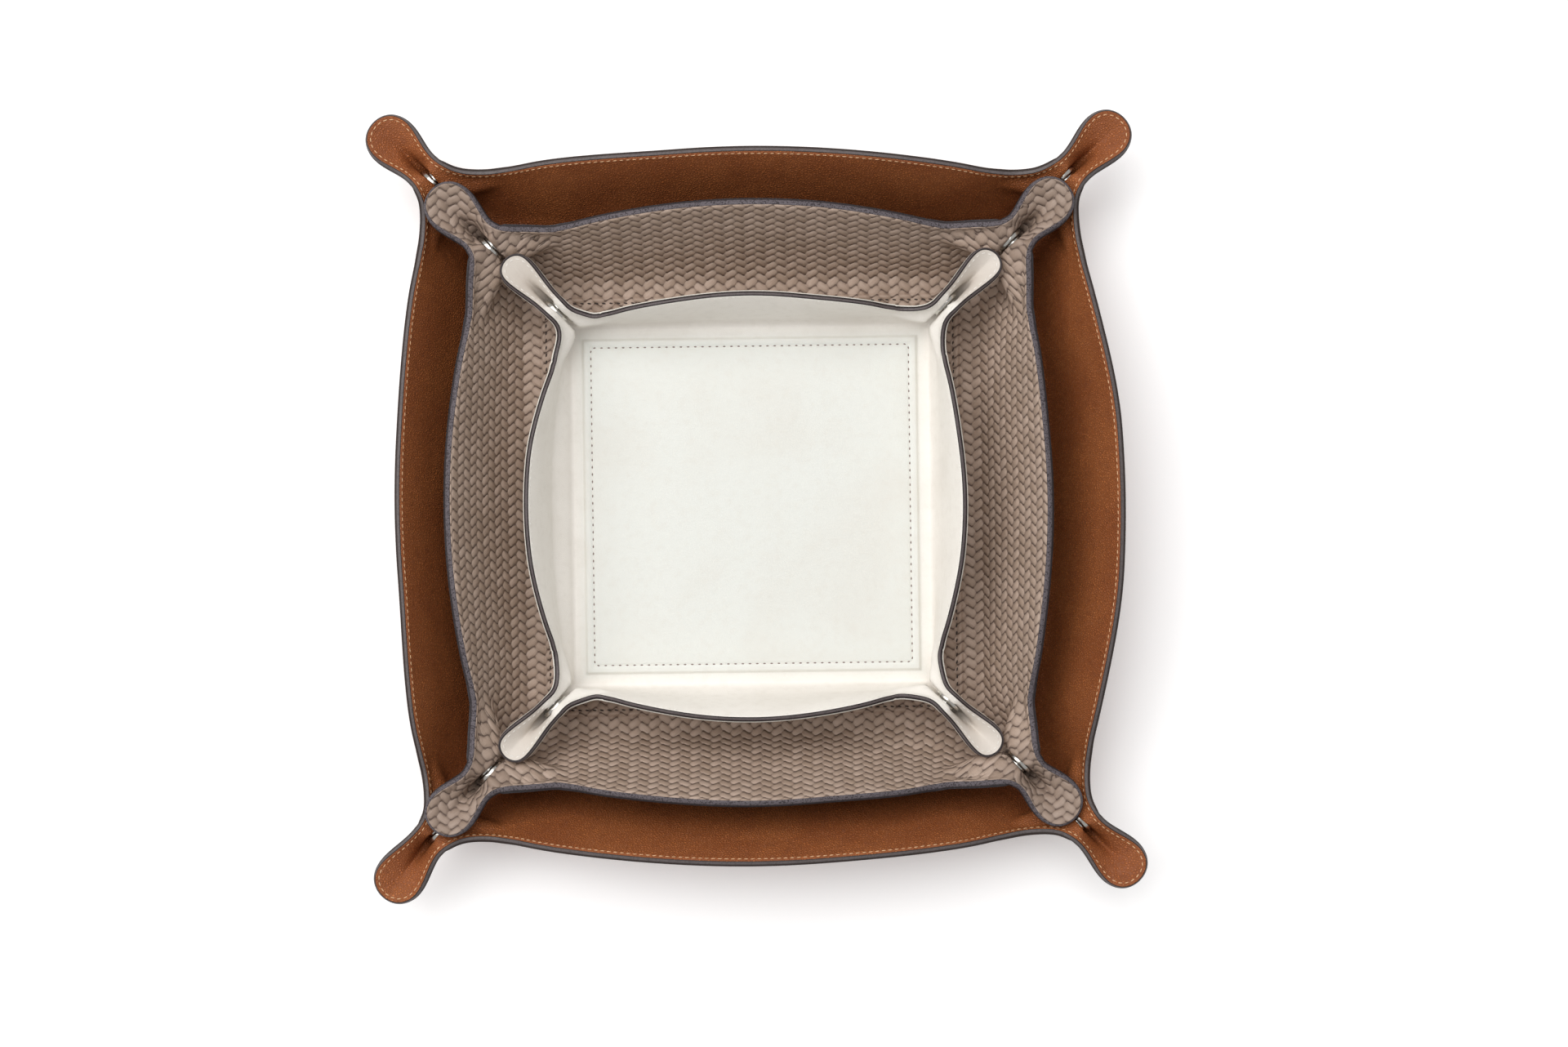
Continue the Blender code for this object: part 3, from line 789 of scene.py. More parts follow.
def stitch_tree() -> GrowTree:
    """Stitches along a closed path, each a small rounded bar that lies on the leather.

    Returns:
        The tree.
    """
    sizes = ("Length", "Width", "Height", "Slant")
    kinds = [("Count", "NodeSocketInt"), *((size, "NodeSocketFloat") for size in sizes)]
    grow = GrowTree("stitch_row", [*kinds, ("Finish", "NodeSocketMaterial")])
    curve = grow.out("GeometryNodeMeshToCurve", {}, {0: grow.given("Geometry")})
    spaced = grow.out("GeometryNodeResampleCurve", {}, {"Curve": curve, "Count": grow.given("Count")})
    settings = {"data_type": "FLOAT_VECTOR"}
    outwards = grow.out("GeometryNodeInputNamedAttribute", settings, {"Name": "outwards"})
    tangent = grow.out("GeometryNodeInputTangent", {}, {})
    along = grow.out("FunctionNodeAlignRotationToVector", {"axis": "X"}, {"Vector": tangent})
    settings = {"axis": "Z", "pivot_axis": "X"}
    upright = grow.out("FunctionNodeAlignRotationToVector", settings, {"Rotation": along, "Vector": outwards})
    turn = grow.out("ShaderNodeCombineXYZ", {}, {2: grow.given("Slant")})
    slant = grow.out("FunctionNodeEulerToRotation", {}, {0: turn})
    turned = grow.out("FunctionNodeRotateRotation", {"rotation_space": "LOCAL"}, {0: upright, 1: slant})
    inputs = {"Segments": STITCH_SEGMENTS, "Rings": STITCH_RINGS, "Radius": 0.5}
    ball = grow.out("GeometryNodeMeshUVSphere", {}, inputs)
    size = grow.out("ShaderNodeCombineXYZ", {}, {i: grow.given(label) for i, label in enumerate(sizes[:3])})
    bar = grow.out("GeometryNodeTransform", {}, {"Geometry": ball, "Scale": size})
    inputs = {"Points": spaced, "Instance": bar, "Rotation": turned}
    grow.close(grow.out("GeometryNodeInstanceOnPoints", {}, inputs))
    return grow


def corner_tree() -> GrowTree:
    """Four copies of a piece, one at each corner of a tray.

    Returns:
        The tree.
    """
    shifts = [f"Shift {corner}" for corner in CORNERS]
    kinds = [("Copies", "NodeSocketInt"), ("Finish", "NodeSocketMaterial")]
    grow = GrowTree("corner_copies", kinds + [(shift, "NodeSocketVector") for shift in shifts])
    index = grow.out("GeometryNodeInputIndex", {}, {})
    choice = grow.node("GeometryNodeIndexSwitch", {"data_type": "VECTOR"}, {"Index": index})
    for _ in shifts[2:]:
        choice.index_switch_items.new()
    grow.feed(choice, {number + 1: grow.given(shift) for number, shift in enumerate(shifts)})
    inputs = {"Count": grow.given("Copies"), "Position": choice.outputs[0]}
    points = grow.out("GeometryNodePoints", {}, inputs)
    angle = grow.out("ShaderNodeMath", {"operation": "MULTIPLY"}, {0: index, 1: math.tau / QUARTERS})
    turn = grow.out("ShaderNodeCombineXYZ", {}, {2: angle})
    rotation = grow.out("FunctionNodeEulerToRotation", {}, {0: turn})
    inputs = {"Points": points, "Instance": grow.given("Geometry"), "Rotation": rotation}
    grow.close(grow.out("GeometryNodeInstanceOnPoints", {}, inputs))
    return grow


def link_piece(name: str, mesh: Mesh) -> Piece:
    """A new object at the origin that shows the mesh.

    Args:
        name: the object's name.
        mesh: what it shows.

    Returns:
        The object.
    """
    piece = bpy.data.objects.new(name, mesh)
    bpy.context.scene.collection.objects.link(piece)
    return piece


def new_mesh(name: str, places: np.ndarray, faces: Sequence[Sequence[int]]) -> Mesh:
    """A smooth-shaded mesh.

    Args:
        name: the mesh's name.
        places: its points.
        faces: the points of each face.

    Returns:
        The mesh.
    """
    mesh = bpy.data.meshes.new(name)
    mesh.from_pydata(places.tolist(), [], faces)
    mesh.shade_smooth()
    return mesh


def corner_points(mesh: Mesh) -> np.ndarray:
    """The point at each corner of the mesh's faces.

    Args:
        mesh: the mesh.

    Returns:
        A point's number for each face corner.
    """
    corners = np.empty(len(mesh.loops), dtype=np.int64)
    mesh.loops.foreach_get("vertex_index", corners)
    return corners


def lay_flat(mesh: Mesh, flats: np.ndarray) -> None:
    """Gives the mesh its flat map.

    Args:
        mesh: the mesh.
        flats: (u, v) for each face corner.
    """
    layer = mesh.uv_layers.new(name=FLAT_MAP)
    layer.data.foreach_set("uv", flats.astype(np.float32).ravel())


# form of a tray


@dataclass(frozen=True)
class TrayForm:
    """Sizes of one tray. Along is measured on the diagonal from the floor corner, across square to it."""

    name: str
    level: float
    fold_half: float
    board_margin: float
    rim_flare: float
    rim_height: float
    low_along: float
    low_across: float
    stud_reach: float
    crease_angle: float
    tab_length: float
    tab_half: float
    neck_half: float
    outer_thick: float
    lining_thick: float

    @property
    def sheet_thick(self) -> float:
        """Both leathers and the gap between them."""
        return self.outer_thick + GAP + self.lining_thick

    @property
    def floor_top(self) -> float:
        """Height of the lining over the board, from the tray's underside."""
        return self.sheet_thick + BOARD_THICK + GAP

    @property
    def slope(self) -> float:
        """Rise of the crease on its straight run, for each metre along."""
        return math.tan(self.crease_angle)

    @property
    def board_edge(self) -> float:
        """Half of the square that the board lifts."""
        return self.fold_half - self.board_margin

    def crease_height(self, along: float) -> float:
        """Height of the crease over the fold: rounded off at the floor corner, easing off along the tab."""
        rise = self.slope * (math.hypot(max(along, 0.0), CREASE_ROUND) - CREASE_ROUND)
        return rise - self.crease_drop(along)

    def crease_drop(self, along: float) -> float:
        """How far the crease eases off below its straight run."""
        past = max(along - self.stud_reach - CREASE_EASE, 0.0)
        return (self.slope - math.tan(TAB_ANGLE)) * past**2 / (2 * (self.tab_length - CREASE_EASE))

    def crease_slope(self, along: float) -> float:
        """Slope of the crease."""
        return (self.crease_height(along + WELD) - self.crease_height(along - WELD)) / (2 * WELD)

    def unrounded_slope(self, along: float) -> float:
        """Slope of the crease without its rounding at the floor corner."""
        drop = self.crease_drop(along + WELD) - self.crease_drop(along - WELD)
        return self.slope - drop / (2 * WELD)

    @property
    def foot_along(self) -> float:
        """Where the crease lies straight under the stud, square to the crease."""
        return self.stud_reach + STUD_RISE * math.sin(self.crease_angle)

    @property
    def stud_height(self) -> float:
        """Height of the stud's axis over the fold."""
        return self.crease_height(self.foot_along) + STUD_RISE * math.cos(self.crease_angle)

    def ear_point(self, forward: float, up: float) -> Pair:
        """(along, height) of a point of the ear, given forward along the crease and up from the stud."""
        cos, sin = math.cos(self.crease_angle), math.sin(self.crease_angle)
        return self.stud_reach + forward * cos - up * sin, self.stud_height + forward * sin + up * cos

    def rim_across(self, along: float) -> float:
        """Half width of the ear's mouth, from beside the low point of the rim to the neck.

        Args:
            along: distance from the floor corner on the diagonal.

        Returns:
            The half width.
        """
        run = self.stud_reach + NECK_SHARE * self.tab_length - self.low_along
        t = (along - self.low_along) / run
        if t < 0:
            return self.low_across + self.low_along - along
        start, turn, end = 2 * t**3 - 3 * t**2 + 1, t**3 - 2 * t**2 + t, 3 * t**2 - 2 * t**3
        return start * self.low_across - turn * RIM_TURN_SHARE * run + end * self.neck_half

    def plan(self, along: float, across: float) -> Pair:
        """(x, y) of a point given along the diagonal and across it, to the left."""
        x, y = (self.fold_half + (along + side) / math.sqrt(2) for side in (-across, across))
        return x, y

    def wall_stations(self) -> list[list[float]]:
        """Ribs from mid-side to the ear.

        Returns:
            For each rib its foot, along the fold and then the crease, and x, y and height at the rim.
        """
        back_along, back_height = self.ear_point(-PINCH_BACK, EAR_TOP_BACK)
        back_x, back_y = self.plan(back_along, self.rim_across(back_along))
        rim_y = self.fold_half + self.rim_flare
        back_foot = self.foot_along - PINCH_BACK * math.cos(self.crease_angle)
        feet = [(share - 1) * self.fold_half for share in WALL_BASE_SHARES] + [back_foot / 2]
        rows = []
        for foot, run, draw, fall in zip(feet, WALL_RIM_SHARES, WALL_DRAW_SHARES, WALL_FALL_SHARES):
            height = self.rim_height + (back_height - self.rim_height) * fall
            rows.append([foot, back_x * run, rim_y + (back_y - rim_y) * draw, height])
        return rows

    def ear_stations(self) -> list[list[float]]:
        """Three parallel ribs through the pinched flat, square to the crease.

        Returns:
            Foot, x, y and height of each.
        """
        rows = []
        tops = ((-PINCH_BACK, EAR_TOP_BACK), (0.0, EAR_TOP_MIDDLE), (PINCH_FRONT, EAR_TOP_FRONT))
        for forward, top in tops:
            along, height = self.ear_point(forward, top)
            x, y = self.plan(along, self.rim_across(along))
            rows.append([self.foot_along + forward * math.cos(self.crease_angle), x, y, height])
        return rows

    def tab_stations(self) -> list[list[float]]:
        """Ribs from the neck round the tab's end to its tip.

        Returns:
            Foot, x, y and height of each.
        """
        length, half = self.tab_length, self.tab_half
        side = self.neck_half + (half - self.neck_half) * SIDE_WIDTH_SHARE
        turned = half * TAB_TURN_SHARE
        rims = (
            (NECK_SHARE * length, self.neck_half, NECK_LIFT),
            (SIDE_SHARE * length, side, SIDE_LIFT),
            (length - half, half, TAB_LIFT),
            (length - half + turned, turned, TAB_END_LIFT),
            (length, 0.0, 0.0),
        )
        rows = []
        for base_share, (out, across, lift) in zip(TAB_BASE_SHARES, rims):
            along = self.stud_reach + out
            x, y = self.plan(along, across)
            rows.append([self.stud_reach + base_share * length, x, y, self.crease_height(along) + lift])
        return rows

    def stud_placement(self) -> Matrix:
        """Frame of the back right press stud.

        Returns:
            The frame. Its Z runs across the ear towards the cap.
        """
        x, y = self.plan(self.stud_reach, 0.0)
        centre = Vector((x, y, self.level + self.sheet_thick + self.stud_height))
        ahead = Vector((1, 1, 0)).normalized()
        across = Vector((-1, 1, 0)).normalized()
        return Matrix.Translation(centre) @ Matrix((ahead, Vector((0, 0, -1)), across)).transposed().to_4x4()

    @classmethod
    def inside(cls, holder: "TrayForm", tab_to_stud: float, **sizes: float | str) -> "TrayForm":
        """A tray that stands in another.

        Args:
            holder: the tray outside it.
            tab_to_stud: how far its tabs end short of the holder's studs.
            sizes: its other sizes and its name.

        Returns:
            The tray.
        """
        run = (holder.fold_half - sizes["fold_half"]) * math.sqrt(2) + holder.stud_reach - sizes["stud_reach"]
        return cls(level=holder.level + holder.floor_top + GAP, tab_length=run - tab_to_stud, **sizes)


LARGE = TrayForm(
    name="large",
    level=0.0,
    fold_half=0.118,
    board_margin=0.0055,
    rim_flare=0.0340,
    rim_height=0.0520,
    low_along=0.0226,
    low_across=0.0101,
    stud_reach=0.0297,
    crease_angle=math.radians(33),
    tab_length=0.0338,
    tab_half=0.0097,
    neck_half=0.0062,
    outer_thick=0.0014,
    lining_thick=0.0011,
)
MEDIUM = TrayForm.inside(
    LARGE,
    tab_to_stud=0.0042,
    name="medium",
    fold_half=0.0975,
    board_margin=0.0050,
    rim_flare=0.0292,
    rim_height=0.0450,
    low_along=0.0216,
    low_across=0.0075,
    stud_reach=0.0216,
    crease_angle=math.radians(38),
    tab_half=0.0092,
    neck_half=0.0060,
    outer_thick=0.0016,
    lining_thick=0.0017,
)
SMALL = TrayForm.inside(
    MEDIUM,
    tab_to_stud=0.0100,
    name="small",
    fold_half=0.078,
    board_margin=0.0045,
    rim_flare=0.0125,
    rim_height=0.0360,
    low_along=-0.0014,
    low_across=0.0064,
    stud_reach=0.0097,
    crease_angle=math.radians(38),
    tab_half=0.0064,
    neck_half=0.0042,
    outer_thick=0.0011,
    lining_thick=0.0010,
)


def natural_spline(times: np.ndarray, knots: np.ndarray) -> np.ndarray:
    """Second derivatives of a natural cubic spline.

    Args:
        times: where each row stands.
        knots: the rows that it runs through.

    Returns:
        A second derivative for each row.
    """
    count = len(knots)
    system = np.eye(count)
    right = np.zeros_like(knots)
    spans = np.diff(times)
    for i in range(1, count - 1):
        before, after = spans[i - 1], spans[i]
        system[i, i - 1 : i + 2] = (before, 2 * (before + after), after)
        right[i] = 6 * ((knots[i + 1] - knots[i]) / after - (knots[i] - knots[i - 1]) / before)
    return np.linalg.solve(system, right)


class Skin:
    """The lining's upper face over an eighth of a tray, as ribs swept from mid-side to the tab's tip."""

    AHEAD = Vector((1, 1, 0)) / math.sqrt(2)
    ACROSS = Vector((-1, 1, 0)) / math.sqrt(2)

    def __init__(self, form: TrayForm) -> None:
        """Lays the splines through the form's ribs.

        Args:
            form: the tray's sizes.
        """
        self.form = form
        ribs = form.wall_stations() + form.ear_stations() + form.tab_stations()
        tilts = [form.crease_angle * share for share in RIB_TILT_SHARES]
        rows = [[*rib, *angles] for rib, *angles in zip(ribs, RIB_TURNS, RIB_LEANS, tilts)]
        before = [self.mirrored_at_side(row) for row in (rows[2], rows[1])]
        after = [self.mirrored_at_tip(row) for row in (rows[-2], rows[-3])]
        self.lead = len(before)
        self.knots = np.array(before + rows + after)
        steps = np.linalg.norm(np.diff(self.knots[:, 1:4], axis=0), axis=1)
        self.times = np.concatenate([[0.0], np.cumsum(np.sqrt(steps))])
        self.bends = natural_spline(self.times, self.knots)

    def mirrored_at_side(self, row: list[float]) -> list[float]:
        """The rib on the other side of mid-side, where the foot runs back from the middle."""
        foot, x, y, height, *angles = row
        return [-2 * self.form.fold_half - foot, -x, y, height, *angles]

    @staticmethod
    def mirrored_at_tip(row: list[float]) -> list[float]:
        """The rib on the other side of the diagonal."""
        foot, x, y, height, turn, lean, tilt = row
        return [foot, y, x, height, math.pi - turn, lean, tilt]

    def rib(self, station: float) -> np.ndarray:
        """A rib at a station, which may lie between two.

        Args:
            station: where the rib stands.

        Returns:
            Its foot distance, rim point and angles.
        """
        place = station + self.lead
        i = min(int(place), len(self.knots) - 2)
        t = place - i
        linear = self.knots[i] * (1 - t) + self.knots[i + 1] * t
        bend = self.bends[i] * ((1 - t) ** 3 - (1 - t)) + self.bends[i + 1] * (t**3 - t)
        return linear + bend * (self.times[i + 1] - self.times[i]) ** 2 / 6

    def foot_point(self, foot: float) -> Vector:
        """Where a rib starts, on the fold or on the crease.

        Args:
            foot: distance from the floor corner, below 0 on the fold.

        Returns:
            The point.
        """
        form = self.form
        if foot < 0:
            return Vector((form.fold_half + foot, form.fold_half, 0.0))
        return Vector((*form.plan(foot, 0.0), form.crease_height(foot)))

    def column(self, station: float, shares: Sequence[float], held: bool = True) -> list[Vector]:
        """Points up one rib.

        Args:
            station: where the rib stands.
            shares: rows, from the fold or the crease at 0 to the rim at 1.
            held: whether the stud pinches the leather.

        Returns:
            A point for each row.
        """
        form = self.form
        foot, rim_x, rim_y, rim_height, turn, lean, tilt = self.rib(station)
        start = self.foot_point(foot)
        end = Vector((rim_x, rim_y, rim_height))
        chord = (end - start).length
        crease = (self.AHEAD + Vector((0, 0, form.crease_slope(foot)))).normalized()
        foot_way = crease * math.sin(turn) + self.ACROSS * math.cos(turn)
        level_way = self.AHEAD * math.sin(turn) + self.ACROSS * math.cos(turn)
        steep_way = Vector((0, 0, math.cos(tilt))) - self.AHEAD * math.sin(tilt)
        low = start + foot_way * chord * FOOT_HANDLE_SHARE
        high = end - (level_way * math.cos(lean) + steep_way * math.sin(lean)) * chord * RIM_HANDLE_SHARE
        points = []
        for w in shares:
            v = 1 - w
            place = start * v**3 + low * 3 * v * v * w + high * 3 * v * w * w + end * w**3
            points.append(self.pinched(place, w) if held else place)
        return points

    def pinched(self, place: Vector, row_share: float) -> Vector:
        """Draws a place in to the flat that the stud holds.

        Args:
            place: a point of the free leather.
            row_share: its row, from the fold or the crease at 0 to the rim at 1.

        Returns:
            The place on the pinched leather.
        """
        form = self.form
        along = (place.x + place.y - 2 * form.fold_half) / math.sqrt(2)
        across = (place.y - place.x) / math.sqrt(2)
        cos, sin = math.cos(form.crease_angle), math.sin(form.crease_angle)
        out, rise = along - form.stud_reach, place.z - form.stud_height
        forward, up = out * cos + rise * sin, rise * cos - out * sin
        past_front, past_back = forward - PINCH_FRONT, -forward - PINCH_BACK
        held = 1 - eased(max(past_front / PINCH_FADE_FRONT, past_back / PINCH_FADE_BACK))
        behind = max(past_back, 0.0)
        above = (up - PINCH_ABOVE + behind * PINCH_SINK) / (PINCH_FADE_ABOVE + behind * PINCH_SPREAD)
        near_rim = (row_share - PINCH_RIM_SHARE) / (1 - PINCH_RIM_SHARE)
        held *= 1 - eased(above)
        held *= eased(row_share / PINCH_ROW_SHARE) * (1 - eased(near_rim))
        lip = LIP_CLOSING * eased((up - DISC_RADIUS) / LIP_RUN)
        across += (PINCH_HALF_GAP - lip - across) * held
        return Vector((*form.plan(along, across), place.z))

    def flat_angle(self, foot: float, chord: Vector) -> float:
        """Direction of a rib on the sheet laid flat.

        Args:
            foot: distance from the floor corner, below 0 on the fold.
            chord: from the rib's foot to its rim point.

        Returns:
            The angle from +X.
        """
        if foot < 0:
            return math.acos(chord.x / chord.length)
        rise = Vector((0, 0, self.form.unrounded_slope(foot)))
        crease = (self.AHEAD + rise).normalized()
        return math.pi / 4 + math.acos(min(max(chord.dot(crease) / chord.length, -1.0), 1.0))

    def flats(self, station: float, column: Sequence[Vector]) -> list[Pair]:
        """Where a rib's points lie on the sheet laid flat.

        Args:
            station: where the rib stands.
            column: its points.

        Returns:
            (u, v) in metres for each point.
        """
        form = self.form
        foot = float(self.rib(station)[0])
        angle = self.flat_angle(foot, column[-1] - column[0])
        corner_chord = Vector(self.rib(CORNER_STATION)[1:4]) - self.foot_point(0.0)
        jump = self.flat_angle(0.0, corner_chord) - self.flat_angle(-WELD, corner_chord)
        near = 1 - eased(abs(station - CORNER_STATION) / FOLD_FADE_STATIONS)
        angle += jump / 2 * near if station < CORNER_STATION else -jump / 2 * near
        if foot < 0:
            u, v = form.fold_half + foot, form.fold_half
        else:
            reach = math.hypot(foot, form.crease_height(foot)) / math.sqrt(2)
            u = v = form.fold_half + reach
        points, run = [(u, v)], 0.0
        for before, after in zip(column, column[1:]):
            run += (after - before).length
            points.append((u + run * math.cos(angle), v + run * math.sin(angle)))
        return points


@dataclass(frozen=True)
class Sway:
    """How the hand-folded leather leans: how far each place has moved, in metres.

    Walls are right, back, left and front, moved outwards at mid-side. Corners, mouths of ears and tips of
    tabs are back right, back left, front left and front right, moved in plan, and tab_lifts moved up.
    """

    walls: tuple[float, float, float, float]
    corners: tuple[Pair, ...]
    mouths: tuple[Pair, ...]
    tab_lifts: tuple[float, float, float, float]
    tips: tuple[Pair, ...]
    floor_height: float = 0.0015
    full_height: float = 0.0080
    mid_share: float = 0.25
    corner_share: float = 0.90
    slot_half: float = 0.0035
    mouth_half: float = 0.0120
    mouth_start: float = 0.80
    mouth_end: float = 1.20
    lift_start: float = 0.0040
    lift_full: float = 0.0200
    tip_full: float = 0.0260

    @staticmethod
    def passage(values: np.ndarray, start: float, end: float) -> np.ndarray:
        """Smooth steps from 0 at the start to 1 at the end."""
        t = np.clip((values - start) / (end - start), 0, 1)
        return t * t * (3 - 2 * t)

    def moved(self, form: TrayForm, places: np.ndarray) -> np.ndarray:
        """Places of a tray after the leaning.

        Args:
            form: the tray's sizes.
            places: points of its skin.

        Returns:
            The moved points.
        """
        x, y, heights = places.T
        near, far = np.minimum(abs(x), abs(y)), np.maximum(abs(x), abs(y))
        over_fold = heights - form.level - form.sheet_thick
        rise = self.passage(over_fold, self.floor_height, self.floor_height + self.full_height)
        share = self.passage(near / form.fold_half, self.mid_share, self.corner_share)
        past_stud = (near + far - 2 * form.fold_half) / math.sqrt(2) - form.stud_reach
        open_share = self.passage((far - near) / math.sqrt(2), self.slot_half, self.mouth_half)
        open_share *= 1 - self.passage(near / form.fold_half, self.mouth_start, self.mouth_end)
        lift_share = self.passage(past_stud, self.lift_start, self.lift_full)
        tip_share = self.passage(past_stud, self.lift_start, self.tip_full)
        right, back, left, front = self.walls
        on_x = abs(x) > abs(y)
        side = np.stack([
            np.where(on_x, np.where(x > 0, right, -left), 0.0),
            np.where(on_x, 0.0, np.where(y > 0, back, -front)),
        ], axis=1)
        quarter = np.where(y > 0, np.where(x > 0, 0, 1), np.where(x > 0, 3, 2))
        corner = np.array(self.corners)[quarter] + np.array(self.mouths)[quarter] * open_share[:, None]
        moved = places.copy()
        moved[:, :2] += rise[:, None] * (side * (1 - share)[:, None] + corner * share[:, None])
        moved[:, 2] += np.array(self.tab_lifts)[quarter] * lift_share
        moved[:, :2] += np.array(self.tips)[quarter] * tip_share[:, None]
        return moved


class SheetGrid:
    """Points, normals and flat coordinates of a whole skin, with its ribs in order round the rim."""

    def __init__(self, form: TrayForm, rings: Sequence[Pair], sway: Sway) -> None:
        """Sweeps an eighth of the skin, copies it round and lets it lean.

        Args:
            form: the tray's sizes.
            rings: (half, height over the fold) of the rings inside the fold, from the middle outwards.
            sway: how the tray leans.
        """
        skin = Skin(form)
        shares = [row / RIB_ROWS for row in range(RIB_ROWS + 1)]
        stations = [i / STEPS_PER_STATION for i in range(LAST_STATION * STEPS_PER_STATION + 1)]
        lift = form.level + form.sheet_thick
        places, loose, flats, self.starts = [], [], [], []
        for station in stations:
            column = skin.column(station, shares)
            free = skin.column(station, shares, held=False)
            self.starts.append(len(places))
            if station <= CORNER_STATION:
                fold = column[0]
                for half, height in rings:
                    x, y = fold.x * half / form.fold_half, fold.y * half / form.fold_half
                    places.append((x, y, height + lift))
                    loose.append(places[-1])
                    flats.append((x, y))
            places += [(p.x, p.y, p.z + lift) for p in column]
            loose += [(p.x, p.y, p.z + lift) for p in free]
            flats += skin.flats(station, free)
        self.starts.append(len(places))
        measured = np.array(loose) + (np.array(places) - np.array(loose)) * HELD_SHARE
        flats = self.relaxed(measured, np.array(flats), len(stations))
        self.copy_round(np.array(places), flats, len(stations))
        self.places = sway.moved(form, self.places)
        self.normals = self.face_normals()

    def relaxed(self, places: np.ndarray, flats: np.ndarray, columns: int) -> np.ndarray:
        """The flat map of the eighth, drawn until lengths on it match those on the skin.

        Args:
            places: points of the eighth, part way to the pinched form, column by column.
            flats: a first guess of where they lie.
            columns: how many columns there are.

        Returns:
            Flat coordinates for each point.
        """
        quads = np.array(self.eighth_faces(columns, False))
        ends = ((0, 1), (1, 2), (2, 3), (3, 0), (0, 2), (1, 3))
        pairs = np.concatenate([quads[:, [i, j]] for i, j in ends])
        pairs = np.unique(np.sort(pairs, axis=1), axis=0)
        a, b = pairs[:, 0], pairs[:, 1]
        lengths = np.linalg.norm(places[a] - places[b], axis=1)
        a, b, lengths = (row[lengths > WELD] for row in (a, b, lengths))
        shares = np.maximum(np.bincount(np.concatenate([a, b]), minlength=len(places)), 1)
        fixed = np.zeros(len(places), dtype=bool)
        for c in range(CORNER_STATION * STEPS_PER_STATION + 1):
            fixed[self.starts[c] : self.starts[c + 1] - RIB_ROWS] = True
        side = np.arange(self.starts[0], self.starts[1])
        creased = [self.starts[c] for c in range(CORNER_STATION * STEPS_PER_STATION + 1, columns)]
        diagonal = np.array(creased + list(range(self.starts[columns - 1], self.starts[columns])))
        kept, flats = flats, flats.copy()
        for _ in range(RELAX_ROUNDS):
            span = flats[b] - flats[a]
            now = np.maximum(np.linalg.norm(span, axis=1), WELD)
            pull = span * ((now - lengths) / now / 2)[:, None]
            for axis, part in enumerate(pull.T):
                moved = np.bincount(a, part, len(places)) - np.bincount(b, part, len(places))
                flats[:, axis] += RELAX_STRENGTH * moved / shares
            flats[fixed] = kept[fixed]
            flats[side, 0] = 0.0
            flats[diagonal] = flats[diagonal].mean(axis=1, keepdims=True)
        return flats

    def copy_round(self, places: np.ndarray, flats: np.ndarray, columns: int) -> None:
        """Lays the eighth out eight times and welds what meets.

        Args:
            places: points of the eighth, column by column.
            flats: their flat coordinates.
            columns: how many columns there are.
        """
        count = len(places)
        all_places, all_flats, faces = [], [], []
        for quarter in range(QUARTERS):
            turn = np.array(Matrix.Rotation(quarter * math.tau / QUARTERS, 3, "Z"))
            for mirrored in (False, True):
                order = [1, 0] if mirrored else [0, 1]
                all_places.append(places[:, [*order, 2]] @ turn.T)
                all_flats.append(flats[:, order] @ turn[:2, :2].T)
                base = (2 * quarter + mirrored) * count
                faces += [[base + i for i in face] for face in self.eighth_faces(columns, mirrored)]
        stacked = np.concatenate(all_places)
        keys = np.round(stacked / WELD).astype(np.int64)
        _, first, back = np.unique(keys, axis=0, return_index=True, return_inverse=True)
        back = back.reshape(-1)
        self.places = stacked[first]
        self.flats = np.concatenate(all_flats)[first]
        self.faces = []
        for face in faces:
            welded = list(dict.fromkeys(int(back[i]) for i in face))
            if len(welded) > 2:
                self.faces.append(welded)
        ribs = []
        for quarter in range(QUARTERS):
            rising = [(2 * quarter + 1, c) for c in range(columns - 1)]
            falling = [(2 * quarter, c) for c in range(columns - 1, 0, -1)]
            for eighth, column in rising + falling:
                end = eighth * count + self.starts[column + 1]
                ribs.append(back[end - RIB_ROWS - 1 : end])
        self.ribs = np.array(ribs)

    def eighth_faces(self, columns: int, mirrored: bool) -> list[list[int]]:
        """Quads between neighbouring columns, which are lined up at the rim, where they all end.

        Args:
            columns: how many columns the eighth has.
            mirrored: whether the faces wind the other way.

        Returns:
            The points of each quad.
        """
        faces = []
        for c in range(columns - 1):
            left, middle, right = self.starts[c], self.starts[c + 1], self.starts[c + 2]
            rows = min(middle - left, right - middle)
            for j in range(rows - 1):
                a, b = middle - rows + j, right - rows + j
                quad = [a, b, b + 1, a + 1]
                faces.append(quad[::-1] if mirrored else quad)
        return faces

    def face_normals(self) -> np.ndarray:
        """Normal at each point, from the faces round it by their size.

        Returns:
            A unit vector for each point.
        """
        normals = np.zeros_like(self.places)
        corners = np.array([face + face[:1] if len(face) == 3 else face for face in self.faces])
        p = self.places[corners]
        cross = np.cross(p[:, 2] - p[:, 0], p[:, 3] - p[:, 1])
        triangle = np.array([len(face) == 3 for face in self.faces])
        flat = np.cross(p[:, 1] - p[:, 0], p[:, 2] - p[:, 0])
        cross[triangle] = flat[triangle]
        for k in range(4):
            np.add.at(normals, corners[:, k], cross)
        return unit(normals)

    def sheet(self, name: str, near: float, far: float) -> Mesh:
        """A closed sheet between two depths under the skin, with its flat map.

        Args:
            name: the mesh's name.
            near: depth of its upper face.
            far: depth of its lower face.

        Returns:
            The mesh.
        """
        count = len(self.places)
        places = np.concatenate([self.places - self.normals * near, self.places - self.normals * far])
        faces = self.faces + [[i + count for i in reversed(face)] for face in self.faces]
        rim = self.ribs[:, -1]
        for a, b in zip(rim.tolist(), np.roll(rim, -1).tolist()):
            faces.append([b, a, a + count, b + count])
        mesh = new_mesh(name, places, faces)
        lay_flat(mesh, np.concatenate([self.flats, self.flats])[corner_points(mesh)])
        return mesh

